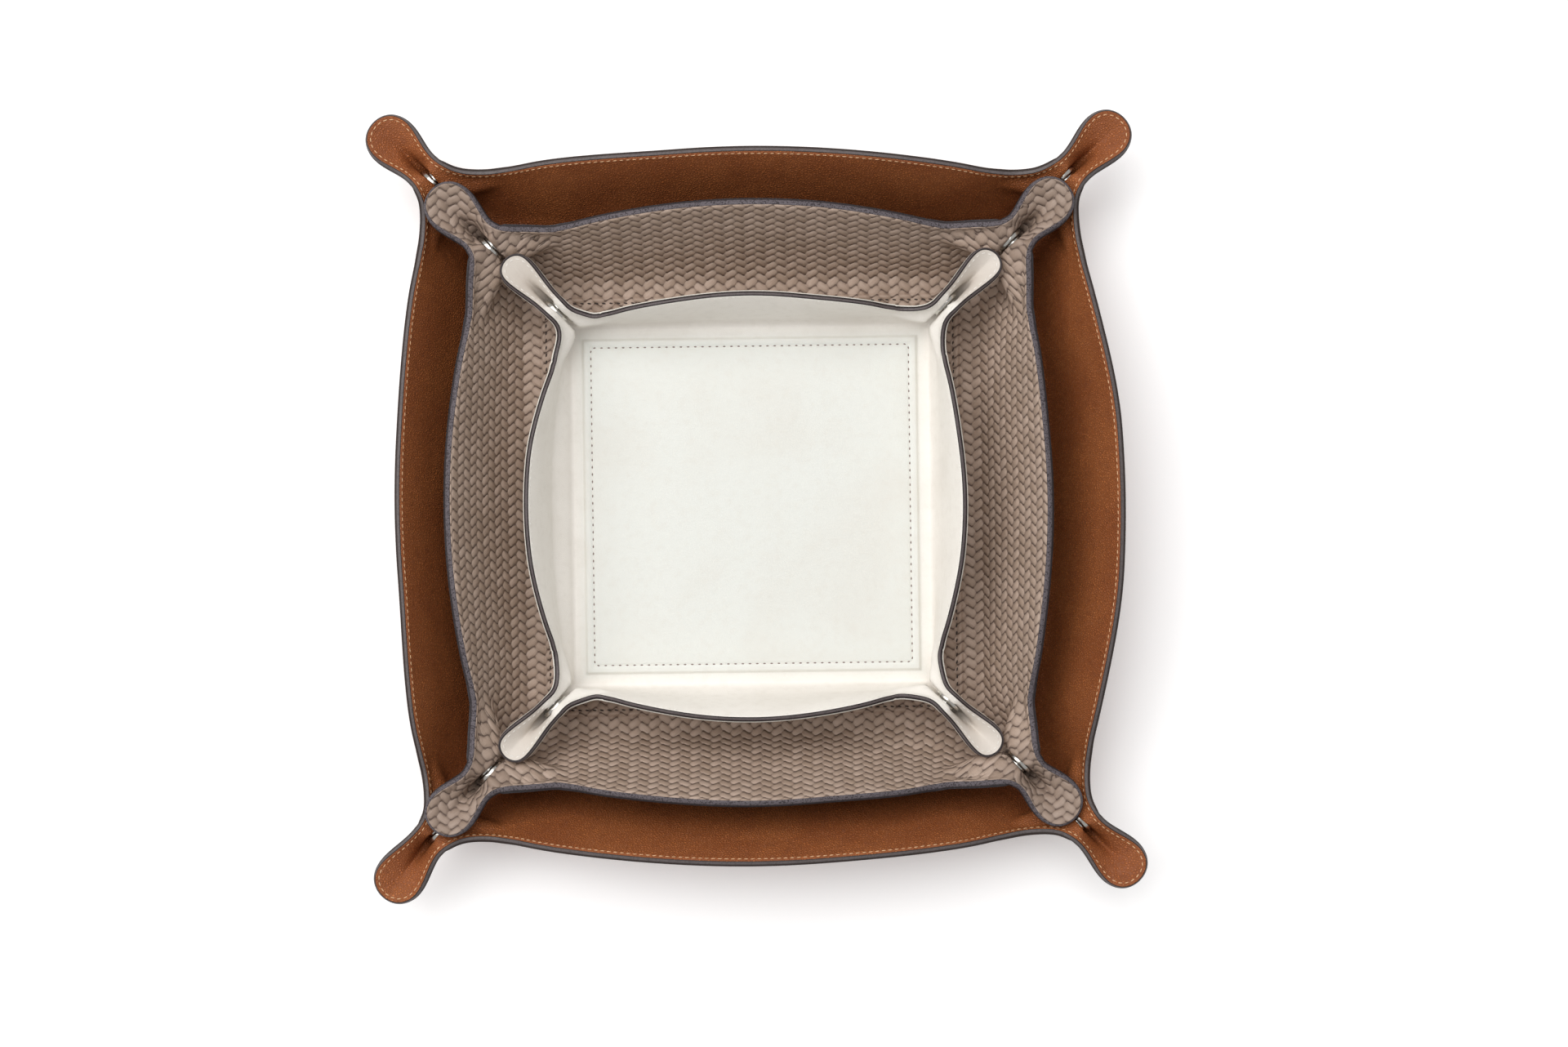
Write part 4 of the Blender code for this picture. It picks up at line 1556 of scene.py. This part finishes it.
    def rim_frame(self) -> tuple[np.ndarray, np.ndarray, np.ndarray]:
        """The rim, rib by rib.

        Returns:
            Its points, and the directions up from the leather and out past its edge.
        """
        rim = self.places[self.ribs[:, -1]]
        up = self.normals[self.ribs[:, -1]]
        way = unit(np.roll(rim, -1, axis=0) - np.roll(rim, 1, axis=0))
        out = unit(np.cross(way, up))
        inner = self.places[self.ribs[:, -2]]
        out *= np.sign(np.sum(out * (rim - inner), axis=1, keepdims=True))
        return rim, up, out

    def path_inside(self, distance: float, depth: float) -> Path:
        """A closed path that runs inside the rim.

        Args:
            distance: how far inside, on the leather.
            depth: how far under the skin.

        Returns:
            Points of the path and the skin's normal at each.
        """
        rim, _, out = self.rim_frame()
        ribs = self.places[self.ribs][:, ::-1]
        steps = np.linalg.norm(np.diff(ribs, axis=1), axis=2)
        runs = np.concatenate([np.zeros((len(ribs), 1)), np.cumsum(steps, axis=1)], axis=1)
        down = unit(ribs[:, 2] - ribs[:, 0])
        needed = distance / np.clip(-np.sum(down * out, axis=1), LEAST_COSINE, 1.0)
        points, normals = [], []
        for i, need in enumerate(needed):
            j = int(np.searchsorted(runs[i], need)) - 1
            t = (need - runs[i, j]) / (runs[i, j + 1] - runs[i, j])
            a, b = self.ribs[i][::-1][j], self.ribs[i][::-1][j + 1]
            normal = self.normals[a] * (1 - t) + self.normals[b] * t
            points.append(self.places[a] * (1 - t) + self.places[b] * t - normal * depth)
            normals.append(normal)
        return np.array(points), unit(np.array(normals))


def square_path(half: float, height: float, up: float) -> Path:
    """A square path on a level face, from its front left corner.

    Args:
        half: half of its side.
        height: its height.
        up: 1 on an upper face, -1 on an underside.

    Returns:
        Points of the path and the face's normal at each.
    """
    corners = ((-half, -half), (half, -half), (half, half), (-half, half))
    points = []
    for (x0, y0), (x1, y1) in zip(corners, corners[1:] + corners[:1]):
        for k in range(SQUARE_STEPS):
            t = k / SQUARE_STEPS
            points.append((x0 + (x1 - x0) * t, y0 + (y1 - y0) * t, height))
    return np.array(points), np.tile((0.0, 0.0, up), (len(points), 1))


def slid(path: Path, distance: float) -> Path:
    """Begins a closed path a little further on.

    Args:
        path: points and face normals.
        distance: how far on.

    Returns:
        The same path from its new start.
    """
    points, normals = path
    step = points[1] - points[0]
    share = distance / np.linalg.norm(step)
    start = points[0] + step * share
    return np.concatenate([start[None], points[1:], points[:1]]), np.concatenate([normals, normals[:1]])


def path_length(points: np.ndarray) -> float:
    """Length round a closed path."""
    return float(np.linalg.norm(np.roll(points, -1, axis=0) - points, axis=1).sum())


# sub-assemblies


@dataclass(frozen=True)
class Seam:
    """A row of stitches: their pitch, their thread and the size of each."""

    pitch: float
    thread: Material
    length_share: float = 0.74
    width: float = 0.00050
    height: float = 0.00042
    slant: float = math.radians(5)

    def sew(self, name: str, path: Path, grow: GrowTree) -> Piece:
        """Lays stitches along a closed path.

        Args:
            name: the row's name.
            path: points and face normals.
            grow: the tree that lays them.

        Returns:
            The row.
        """
        points, normals = path
        count = len(points)
        seed = bpy.data.meshes.new(f"{name}_path")
        seed.from_pydata(points.tolist(), [(i, (i + 1) % count) for i in range(count)], [])
        attribute = seed.attributes.new("outwards", "FLOAT_VECTOR", "POINT")
        attribute.data.foreach_set("vector", normals.astype(np.float32).ravel())
        values = {
            "Count": QUARTERS * round(path_length(points) / self.pitch / QUARTERS),
            "Length": self.pitch * self.length_share,
            "Width": self.width,
            "Height": self.height,
            "Slant": self.slant,
            "Finish": self.thread,
        }
        return grow.grow(name, seed, values)


@dataclass(frozen=True)
class EdgeBead:
    """Paint along a cut edge, between two depths under the lining's face, bulging out and tucked in."""

    top: float
    bottom: float
    bulge: float
    tuck: float

    def profile(self) -> list[Pair]:
        """The bead's section, round its outside and back through the leather.

        Returns:
            (out, up) points from the middle of the edge.
        """
        half = (self.bottom - self.top) / 2
        points = []
        for k in range(BEAD_STEPS + 1):
            angle = math.pi / 2 - math.pi * k / BEAD_STEPS
            points.append((self.bulge * math.cos(angle) ** BEAD_POWER, half * math.sin(angle)))
        return points + [(-self.tuck, -half), (-self.tuck, half)]

    def mesh(self, name: str, grid: SheetGrid) -> Mesh:
        """A rounded bead over the cut edge of a skin.

        Args:
            name: the mesh's name.
            grid: the skin.

        Returns:
            The mesh, whose flat map runs across the bead from 0 to 1.
        """
        rim, up, out = grid.rim_frame()
        profile = self.profile()
        middle = rim - up * (self.top + self.bottom) / 2
        places = np.stack([middle + out * o + up * n for o, n in profile], axis=1).reshape(-1, 3)
        count, width = len(rim), len(profile)
        faces = []
        for i in range(count):
            j = (i + 1) % count
            for k in range(width):
                m = (k + 1) % width
                faces.append([i * width + k, i * width + m, j * width + m, j * width + k])
        mesh = new_mesh(name, places, faces)
        mesh.set_sharp_from_angle(angle=BEAD_SHARP)
        across = np.array([k / BEAD_STEPS for k in range(BEAD_STEPS + 1)] + [1.0, 0.0])
        shares = across[corner_points(mesh) % width]
        lay_flat(mesh, np.stack([np.zeros(len(shares)), shares], axis=1))
        return mesh


@dataclass
class TrayBuilder:
    """Base of what dresses one tray: it names, places and reports pieces."""

    form: TrayForm
    sway: Sway

    @property
    def body(self) -> str:
        """The body that the pieces ride on."""
        return f"{self.form.name}_tray"

    def keep(self, piece: Piece, slot: str, *nodes: str) -> None:
        """Ties a finished piece to its body and reports it.

        Args:
            piece: the piece.
            slot: the material slot that it belongs to; not used.
            nodes: the frame's nodes that it stands for.
        """
        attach(piece, self.body)
        if nodes:
            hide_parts(*nodes)
        log.info("%s: %d faces", piece.name, len(piece.data.polygons))

    def keep_mesh(self, mesh: Mesh, material: Material, slot: str, *nodes: str) -> None:
        """Gives a mesh its finish and keeps it as a piece.

        Args:
            mesh: the mesh.
            material: its finish.
            slot: the material slot that it belongs to; passed on to keep, which does not use it.
            nodes: the frame's nodes that it stands for.
        """
        mesh.materials.append(material)
        self.keep(link_piece(mesh.name, mesh), slot, *nodes)


@dataclass
class Sheets(TrayBuilder):
    """Lining, outer leather and painted edge of a tray, with their stitches."""

    lining: Material
    outer: Material
    edge: Material
    lining_slot: str
    outer_slot: str
    bead: EdgeBead
    seam_groove: float
    stitched_half: float
    floor_seam: Seam
    rim_seam: Seam | None = None
    rim_seam_inset: float = 0.0
    # Dark bars in the needle holes: painted shade in the holes.
    needle_hole_shade: Seam | None = None

    def floor_rings(self, raised: bool) -> list[Pair]:
        """Rings of the floor: over the board's edge, and a groove where it is sewn.

        Args:
            raised: whether the board lifts this face.

        Returns:
            (half, height over the fold) of each ring, from the middle outwards.
        """
        edge, sewn = self.form.board_edge, self.stitched_half
        top = BOARD_THICK + GAP if raised else 0.0
        rings = [(share * sewn, top) for share in FLOOR_RING_SHARES]
        for k in range(-GROOVE_STEPS, GROOVE_STEPS + 1):
            depth = self.seam_groove * (1 - eased(abs(k) / GROOVE_STEPS))
            rings.append((sewn + GROOVE_HALF * k / GROOVE_STEPS, top - (depth if raised else -depth)))
        for k in range(SLOPE_STEPS + 1):
            share = k / SLOPE_STEPS
            rings.append((edge + BOARD_SLOPE_RUN * (share - 0.5), top * (1 - eased(share))))
        rings.append((edge + BOARD_SLOPE_RUN, 0.0))
        return rings

    def build(self, stitches: GrowTree) -> None:
        """Builds the leathers, the edge and the stitches.

        Args:
            stitches: the tree that lays stitches.
        """
        form = self.form
        inside = SheetGrid(form, self.floor_rings(raised=True), self.sway)
        outside = SheetGrid(form, self.floor_rings(raised=False), self.sway)
        layers = (
            (Layer.LINING, inside, 0.0, form.lining_thick, self.lining, self.lining_slot),
            (Layer.OUTER, outside, form.lining_thick + GAP, form.sheet_thick, self.outer, self.outer_slot),
        )
        for layer, grid, near, far, material, slot in layers:
            node = f"{form.name}_{layer.value}"
            self.keep_mesh(grid.sheet(f"{node}_sheet", near, far), material, slot, node)
        edge = self.bead.mesh(f"{form.name}_painted_edge", inside)
        self.keep_mesh(edge, self.edge, "dark_leather")
        self.sew(inside, outside, stitches)

    def sew(self, inside: SheetGrid, outside: SheetGrid, stitches: GrowTree) -> None:
        """Sews the rim and the floor, seen on both faces.

        Args:
            inside: the lining's skin.
            outside: the skin that the outer leather lies under.
            stitches: the tree that lays stitches.
        """
        form, inset = self.form, self.rim_seam_inset
        rows = []
        if self.rim_seam:
            rows.append(("rim_stitches", self.rim_seam, inside.path_inside(inset, 0.0)))
            rows.append(("rim_stitches_outside", self.rim_seam, outside.path_inside(inset, form.sheet_thick)))
        floor = square_path(self.stitched_half, form.level + form.floor_top - self.seam_groove, 1.0)
        under = square_path(self.stitched_half, form.level + self.seam_groove, -1.0)
        rows.append(("floor_stitches", self.floor_seam, floor))
        rows.append(("floor_stitches_under", self.floor_seam, under))
        # Painted shade: dark bars set in the needle holes between the floor's stitches.
        if self.needle_hole_shade:
            rows.append(("needle_holes", self.needle_hole_shade, slid(floor, self.needle_hole_shade.pitch / 2)))
        for name, seam, path in rows:
            self.keep(seam.sew(f"{form.name}_{name}", path, stitches), self.lining_slot)


@dataclass
class PressStuds(TrayBuilder):
    """The four press studs of a tray, each a cap, socket, stud and post turned about one axis.

    A profile is a list of (height, radius) points from end to end, or right round a ring's section.
    """

    metal: Material
    shank_radius: float = 0.0012
    cap_radius: float = 0.0046
    cap_edge: float = 0.0007
    cap_dome: float = 0.0016
    dome_share: float = 0.985
    socket_radius: float = DISC_RADIUS
    socket_face: float = 0.00035
    socket_round: float = 0.0006
    socket_back: float = 0.0006
    hole_radius: float = 0.0016
    ring_depth: float = 0.00035
    ring_shares: tuple[float, ...] = (0.72, 0.66, 0.50, 0.45)
    recess_radius: float = 0.0023
    stud_radius: float = 0.0043
    stud_face: float = 0.00065
    nub_radius: float = 0.00195
    nub_end: float = 0.0005
    nub_share: float = 0.6
    post_radius: float = 0.0045
    post_thick: float = 0.0009
    dimple_depth: float = 0.0004
    dimple_shares: Pair = (0.45, 0.36)
    rounding: float = 0.0001
    segments: int = 48

    @property
    def face(self) -> float:
        """Distance of an outer leather face from the stud's middle."""
        return PINCH_HALF_GAP + self.form.sheet_thick + GAP

    def cap_profile(self) -> list[Pair]:
        """Shank, and a domed head with a rolled rim.

        Returns:
            The profile.
        """
        start, face, r, s = PINCH_HALF_GAP - GAP, self.face, self.cap_radius, self.rounding
        points = [
            (start, 0.0),
            (start, self.shank_radius),
            (face, self.shank_radius),
            (face, r - 3 * s),
            (face + s, r - s),
            (face + self.cap_edge / 2, r),
        ]
        for k in range(DOME_STEPS + 1):
            angle = math.pi / 2 * k / DOME_STEPS
            rise = self.cap_edge + (self.cap_dome - self.cap_edge) * math.sin(angle)
            points.append((face + rise, r * self.dome_share * math.cos(angle)))
        return points

    def socket_profile(self) -> list[Pair]:
        """A ring with a rolled lip round the recess for the nub.

        Returns:
            The profile.
        """
        back, front = PINCH_HALF_GAP - GAP, -self.socket_face
        r, bevel, s = self.socket_radius, self.socket_round, self.rounding
        inner, floor = back - self.socket_back, front + self.ring_depth
        outer_lip, outer_floor, inner_floor, inner_lip = (share * r for share in self.ring_shares)
        return [
            (back, self.hole_radius),
            (back, r - 2 * s),
            (back - s, r),
            (front + bevel, r),
            (front + bevel * 0.3, r - bevel * 0.3),
            (front, r - bevel),
            (front, outer_lip),
            (floor, outer_floor),
            (floor, inner_floor),
            (front, inner_lip),
            (front, self.recess_radius + 2 * s),
            (front + 2 * s, self.recess_radius),
            (inner, self.recess_radius),
            (inner, self.hole_radius),
        ]

    def stud_profile(self) -> list[Pair]:
        """A flange with a round nub that enters the socket.

        Returns:
            The profile.
        """
        back, face, end = GAP - PINCH_HALF_GAP, -self.stud_face, self.nub_end
        r, n, s = self.stud_radius, self.nub_radius, self.rounding
        return [
            (back, 0.0),
            (back, r - s),
            (back + s, r),
            (face - s, r),
            (face, r - 2 * s),
            (face, n + s),
            (face + s, n - s),
            (end - 3 * s, n),
            (end, n * self.nub_share),
            (end, 0.0),
        ]

    def post_profile(self) -> list[Pair]:
        """Shank, and a flat head with a rolled rim and a dimple.

        Returns:
            The profile.
        """
        r, face, s = self.post_radius, -self.face, self.rounding
        out = face - self.post_thick
        floor = out + self.dimple_depth
        dimple, dimple_floor = (share * r for share in self.dimple_shares)
        return [
            (-PINCH_HALF_GAP, 0.0),
            (-PINCH_HALF_GAP, self.shank_radius),
            (face, self.shank_radius),
            (face, r - 2 * s),
            (face - s, r),
            (out + 3 * s, r),
            (out + s, r - s),
            (out, r - 4 * s),
            (out, dimple),
            (floor, dimple_floor),
            (floor, 0.0),
        ]

    def turned(self, name: str, profile: Sequence[Pair], ring: bool) -> Mesh:
        """A turned piece at the back right corner.

        Args:
            name: the mesh's name.
            profile: its profile.
            ring: whether the profile closes on itself.

        Returns:
            The mesh.
        """
        place = self.form.stud_placement()
        places, rings = [], []
        for height, radius in profile:
            count = 1 if radius < WELD else self.segments
            rings.append(list(range(len(places), len(places) + count)))
            for k in range(count):
                angle = math.tau * k / self.segments
                places.append(place @ Vector((radius * math.cos(angle), radius * math.sin(angle), height)))
        pairs = list(zip(rings, rings[1:])) + ([(rings[-1], rings[0])] if ring else [])
        faces = []
        for low, high in pairs:
            for k in range(self.segments):
                m = (k + 1) % self.segments
                corners = [low[k % len(low)], low[m % len(low)], high[m % len(high)], high[k % len(high)]]
                faces.append(list(dict.fromkeys(corners)))
        return outwards(new_mesh(name, np.array([tuple(p) for p in places]), faces))

    def build(self, copies: GrowTree) -> None:
        """Builds the four pieces and copies each to the corners.

        Args:
            copies: the tree that copies a piece to the corners.
        """
        profiles: dict[Metal, Callable[[], list[Pair]]] = {
            Metal.CAP: self.cap_profile,
            Metal.SOCKET: self.socket_profile,
            Metal.STUD: self.stud_profile,
            Metal.POST: self.post_profile,
        }
        shifts = {f"Shift {corner}": (x, y, 0.0) for corner, (x, y) in zip(CORNERS, self.sway.corners)}
        for kind, profile in profiles.items():
            name = f"{self.form.name}_{kind.value}s"
            seed = self.turned(f"{name}_turned", profile(), kind is Metal.SOCKET)
            piece = copies.grow(name, seed, {"Copies": QUARTERS, "Finish": self.metal, **shifts})
            piece.data.set_sharp_from_angle(angle=METAL_SHARP)
            nodes = [f"{self.form.name}_{kind.value}_{corner}" for corner in CORNERS]
            self.keep(piece, "nickel", *nodes)


def outwards(mesh: Mesh) -> Mesh:
    """Turns the faces of a closed mesh outwards.

    Args:
        mesh: the mesh.

    Returns:
        The same mesh.
    """
    volume = 0.0
    for face in mesh.polygons:
        points = [mesh.vertices[i].co for i in face.vertices]
        for a, b in zip(points[1:], points[2:]):
            volume += points[0].dot(a.cross(b))
    if volume < 0:
        mesh.flip_normals()
    return mesh


@dataclass
class BaseBoard(TrayBuilder):
    """The stiff board between the leathers, kept as the frame has it."""

    material: Material

    def build(self) -> None:
        """Gives the board its finish."""
        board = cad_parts[f"{self.form.name}_base_board"]
        board.data.materials.clear()
        board.data.materials.append(self.material)
        log.info("%s: finished", board.name)


@dataclass(frozen=True)
class Softbox:
    """A square soft light that looks at the trays."""

    name: str
    place: Triple
    size: float
    power: float

    def build(self) -> None:
        """Hangs the light."""
        data = bpy.data.lights.new(self.name, "AREA")
        data.shape = "SQUARE"
        data.size = self.size
        data.energy = self.power
        lamp = bpy.data.objects.new(self.name, data)
        lamp.location = self.place
        lamp.rotation_euler = (-Vector(self.place)).to_track_quat("-Z", "Y").to_euler()
        bpy.context.scene.collection.objects.link(lamp)


@dataclass
class StudioSet:
    """Floor, soft light and the camera straight above."""

    floor_half: float = 4.0
    floor_drop: float = 0.0002
    lamps: tuple[Softbox, ...] = (
        Softbox("softbox_overhead", (-0.25, 0.65, 1.6), 1.4, 21.0),
        Softbox("softbox_left", (-1.25, 0.20, 1.45), 1.1, 10.0),
    )
    sky_strength: float = 0.50
    camera_place: Triple = (0.0142, -0.0084, 1.1)
    camera_lens: float = 56.6
    camera_sensor: float = 36.0
    camera_roll: float = math.radians(-0.75)
    camera_range: float = 50.0

    def build(self) -> None:
        """Builds the floor, the lamps, the world and the camera."""
        half, height = self.floor_half, -self.floor_drop
        corners = [(x * half, y * half, height) for x, y in ((-1, -1), (1, -1), (1, 1), (-1, 1))]
        mesh = bpy.data.meshes.new("studio_floor")
        mesh.from_pydata(corners, [], [(0, 1, 2, 3)])
        mesh.materials.append(StudioFloor().build())
        link_piece("studio_floor", mesh)
        for lamp in self.lamps:
            lamp.build()
        self.world()
        self.camera()

    def world(self) -> None:
        """A white surround, at full strength only where it is seen."""
        world = bpy.data.worlds.new("studio_surround")
        bpy.context.scene.world = world
        world.use_nodes = True
        tree = NodeTree(world.node_tree)
        seen = tree.out("ShaderNodeLightPath", {}, {}, "Is Camera Ray")
        inputs = {"Value": seen, "To Min": self.sky_strength, "To Max": 1.0}
        strength = tree.out("ShaderNodeMapRange", {}, inputs)
        tree.feed(tree.nodes["Background"], {"Color": grey(1.0), "Strength": strength})

    def camera(self) -> None:
        """The photograph's view, straight down."""
        data = bpy.data.cameras.new("camera")
        data.lens = self.camera_lens
        data.sensor_width = self.camera_sensor
        data.clip_end = self.camera_range
        camera = bpy.data.objects.new("camera", data)
        camera.location = self.camera_place
        camera.rotation_euler = (0.0, 0.0, self.camera_roll)
        bpy.context.scene.collection.objects.link(camera)
        bpy.context.scene.camera = camera


LARGE_SWAY = Sway(
    walls=(0.0049, -0.0024, -0.0035, -0.0007),
    corners=((-0.0014, 0.0006), (0.0031, 0.0032), (0.0019, -0.0007), (0.0013, 0.0002)),
    mouths=((0.0023, -0.0028), (-0.0012, -0.0019), (-0.0023, 0.0009), (-0.0005, -0.0011)),
    tab_lifts=(0.0, 0.0, 0.0, 0.0),
    tips=((0.0009, 0.0009), (-0.0004, 0.0002), (0.0002, -0.0028), (0.0010, -0.0010)),
)
MEDIUM_SWAY = Sway(
    walls=(-0.0007, 0.0004, 0.0007, -0.0010),
    corners=((0.0010, -0.0005), (0.0018, 0.0000), (-0.0019, -0.0014), (0.0016, -0.0006)),
    mouths=((0.0003, -0.0004), (-0.0022, -0.0003), (0.0014, 0.0014), (-0.0022, -0.0016)),
    tab_lifts=(0.0026, 0.0030, 0.0038, 0.0010),
    tips=((-0.0006, -0.0006), (0.0, 0.0), (0.0007, 0.0007), (-0.0007, 0.0007)),
)
SMALL_SWAY = Sway(
    walls=(0.0004, -0.0012, 0.0046, 0.0006),
    corners=((0.0013, 0.0009), (0.0015, 0.0010), (-0.0018, -0.0015), (-0.0006, -0.0019)),
    mouths=((0.0002, 0.0005), (-0.0028, -0.0011), (-0.0009, 0.0018), (-0.0010, 0.0007)),
    tab_lifts=(0.0038, 0.0034, 0.0032, 0.0032),
    tips=((0.0, 0.0), (0.0, 0.0), (0.0, 0.0), (0.0, 0.0)),
)

RIM_PITCH = 0.0028
FLOOR_PITCH = 0.0032


def large_sheets() -> Sheets:
    """The brown tray's leathers, grained on both faces.

    Returns:
        The leathers, with their finishes.
    """
    brown = PebbledLeather(
        "brown_leather",
        colour=(0.370, 0.109, 0.030),
        deep=(0.090, 0.020, 0.005),
        light=(0.48, 0.155, 0.044),
        pebble=0.00110,
        depth=0.00034,
        roughness=0.44,
        stretch=(1.0, 1.25, 1.0),
    ).build()
    edge = EdgePaint(
        "grey_edge_paint",
        colour=(0.026, 0.016, 0.013),
        # crown: colour of the painted highlight along the bead.
        crown=(0.115, 0.097, 0.096),
        roughness=0.50,
        fibre=0.0009,
        depth=0.00005,
    ).build()
    thread = Thread("sand_thread", colour=(0.72, 0.46, 0.26), deep=(0.40, 0.17, 0.07)).build()
    return Sheets(
        LARGE,
        LARGE_SWAY,
        lining=brown,
        outer=brown,
        edge=edge,
        lining_slot="brown_leather",
        outer_slot="brown_leather",
        bead=EdgeBead(top=0.00015, bottom=0.00285, bulge=0.0004, tuck=0.0005),
        seam_groove=0.0003,
        stitched_half=0.110,
        floor_seam=Seam(FLOOR_PITCH, thread),
        rim_seam=Seam(RIM_PITCH, thread),
        rim_seam_inset=0.0015,
    )


def medium_sheets() -> Sheets:
    """The woven tray's leathers, with a rough edge and no seam at the rim.

    Returns:
        The leathers, with their finishes.
    """
    weave = HerringboneWeave(
        "taupe_weave",
        colour=(0.36, 0.262, 0.200),
        light=(0.47, 0.355, 0.285),
        deep=(0.095, 0.062, 0.048),
    ).build()
    charcoal = PebbledLeather(
        "charcoal_leather",
        colour=(0.055, 0.050, 0.055),
        deep=(0.015, 0.013, 0.014),
        light=(0.085, 0.078, 0.084),
        pebble=0.00080,
        depth=0.00008,
        roughness=0.55,
    ).build()
    edge = EdgePaint(
        "rough_edge_paint",
        colour=(0.030, 0.024, 0.026),
        # crown: colour of the painted highlight along the bead.
        crown=(0.125, 0.108, 0.118),
        roughness=0.85,
        fibre=0.0007,
        depth=0.00045,
        speckle=0.85,
        highlight_half=0.40,
    ).build()
    thread = Thread("umber_thread", colour=(0.035, 0.022, 0.016), deep=(0.015, 0.010, 0.008)).build()
    return Sheets(
        MEDIUM,
        MEDIUM_SWAY,
        lining=weave,
        outer=charcoal,
        edge=edge,
        lining_slot="taupe_weave",
        outer_slot="dark_leather",
        bead=EdgeBead(top=0.0003, bottom=0.0031, bulge=0.0005, tuck=0.0007),
        seam_groove=0.0004,
        stitched_half=0.090,
        floor_seam=Seam(
            FLOOR_PITCH,
            thread,
            length_share=0.62,
            width=0.0008,
            height=0.0009,
            slant=math.radians(-12),
        ),
    )


def small_sheets() -> Sheets:
    """The cream tray's leathers, with painted shade in the needle holes between the floor's stitches.

    Returns:
        The leathers, with their finishes.
    """
    cream = SmoothLeather(
        "cream_leather",
        wall_with_painted_light=(0.85, 0.81, 0.755),
        floor=(0.700, 0.708, 0.666),
        tab_painted_shade=(0.62, 0.56, 0.50),
        deep=(0.62, 0.57, 0.50),
        floor_half=0.070,
        tab_reach=0.080,
    ).build()
    cream_back = PebbledLeather(
        "cream_back",
        colour=(0.80, 0.765, 0.69),
        deep=(0.60, 0.55, 0.48),
        light=(0.86, 0.825, 0.755),
        pebble=0.00070,
        depth=0.00006,
        roughness=0.55,
    ).build()
    edge = EdgePaint(
        "slate_edge_paint",
        colour=(0.018, 0.012, 0.012),
        # crown: colour of the painted highlight along the bead.
        crown=(0.105, 0.085, 0.085),
        roughness=0.50,
        fibre=0.0008,
        depth=0.00005,
    ).build()
    thread = Thread("white_thread", colour=(0.80, 0.77, 0.72), deep=(0.55, 0.50, 0.45)).build()
    # Dark bars for the needle holes: painted shade in the holes, laid as thread.
    hole_shade_thread = Thread("needle_hole_painted_shade", colour=(0.21, 0.15, 0.13), deep=(0.12, 0.08, 0.065)).build()
    return Sheets(
        SMALL,
        SMALL_SWAY,
        lining=cream,
        outer=cream_back,
        edge=edge,
        lining_slot="cream_leather",
        outer_slot="cream_back",
        bead=EdgeBead(top=-0.00005, bottom=0.0019, bulge=0.0004, tuck=0.0004),
        seam_groove=0.0003,
        stitched_half=0.070,
        floor_seam=Seam(FLOOR_PITCH, thread, width=0.00042, height=0.00034),
        rim_seam=Seam(RIM_PITCH, thread, width=0.00042, height=0.00034),
        rim_seam_inset=0.0019,
        needle_hole_shade=Seam(FLOOR_PITCH, hole_shade_thread, length_share=0.42, width=0.00072, height=0.0003, slant=0.0),
    )


def main() -> None:
    """Builds the trays from the largest to the smallest, then the studio."""
    logging.basicConfig(level=logging.INFO, format="%(name)s: %(message)s")
    bpy.context.scene.view_settings.view_transform = "Standard"
    stitches, copies = stitch_tree(), corner_tree()
    metal = Nickel("nickel", colour=(0.62, 0.60, 0.56)).build()
    greyboard = PressedBoard("pressed_board", colour=(0.30, 0.28, 0.25)).build()
    for sheets in (large_sheets(), medium_sheets(), small_sheets()):
        sheets.build(stitches)
        PressStuds(sheets.form, sheets.sway, metal).build(copies)
        BaseBoard(sheets.form, sheets.sway, greyboard).build()
    StudioSet().build()


if __name__ == "__main__":
    main()
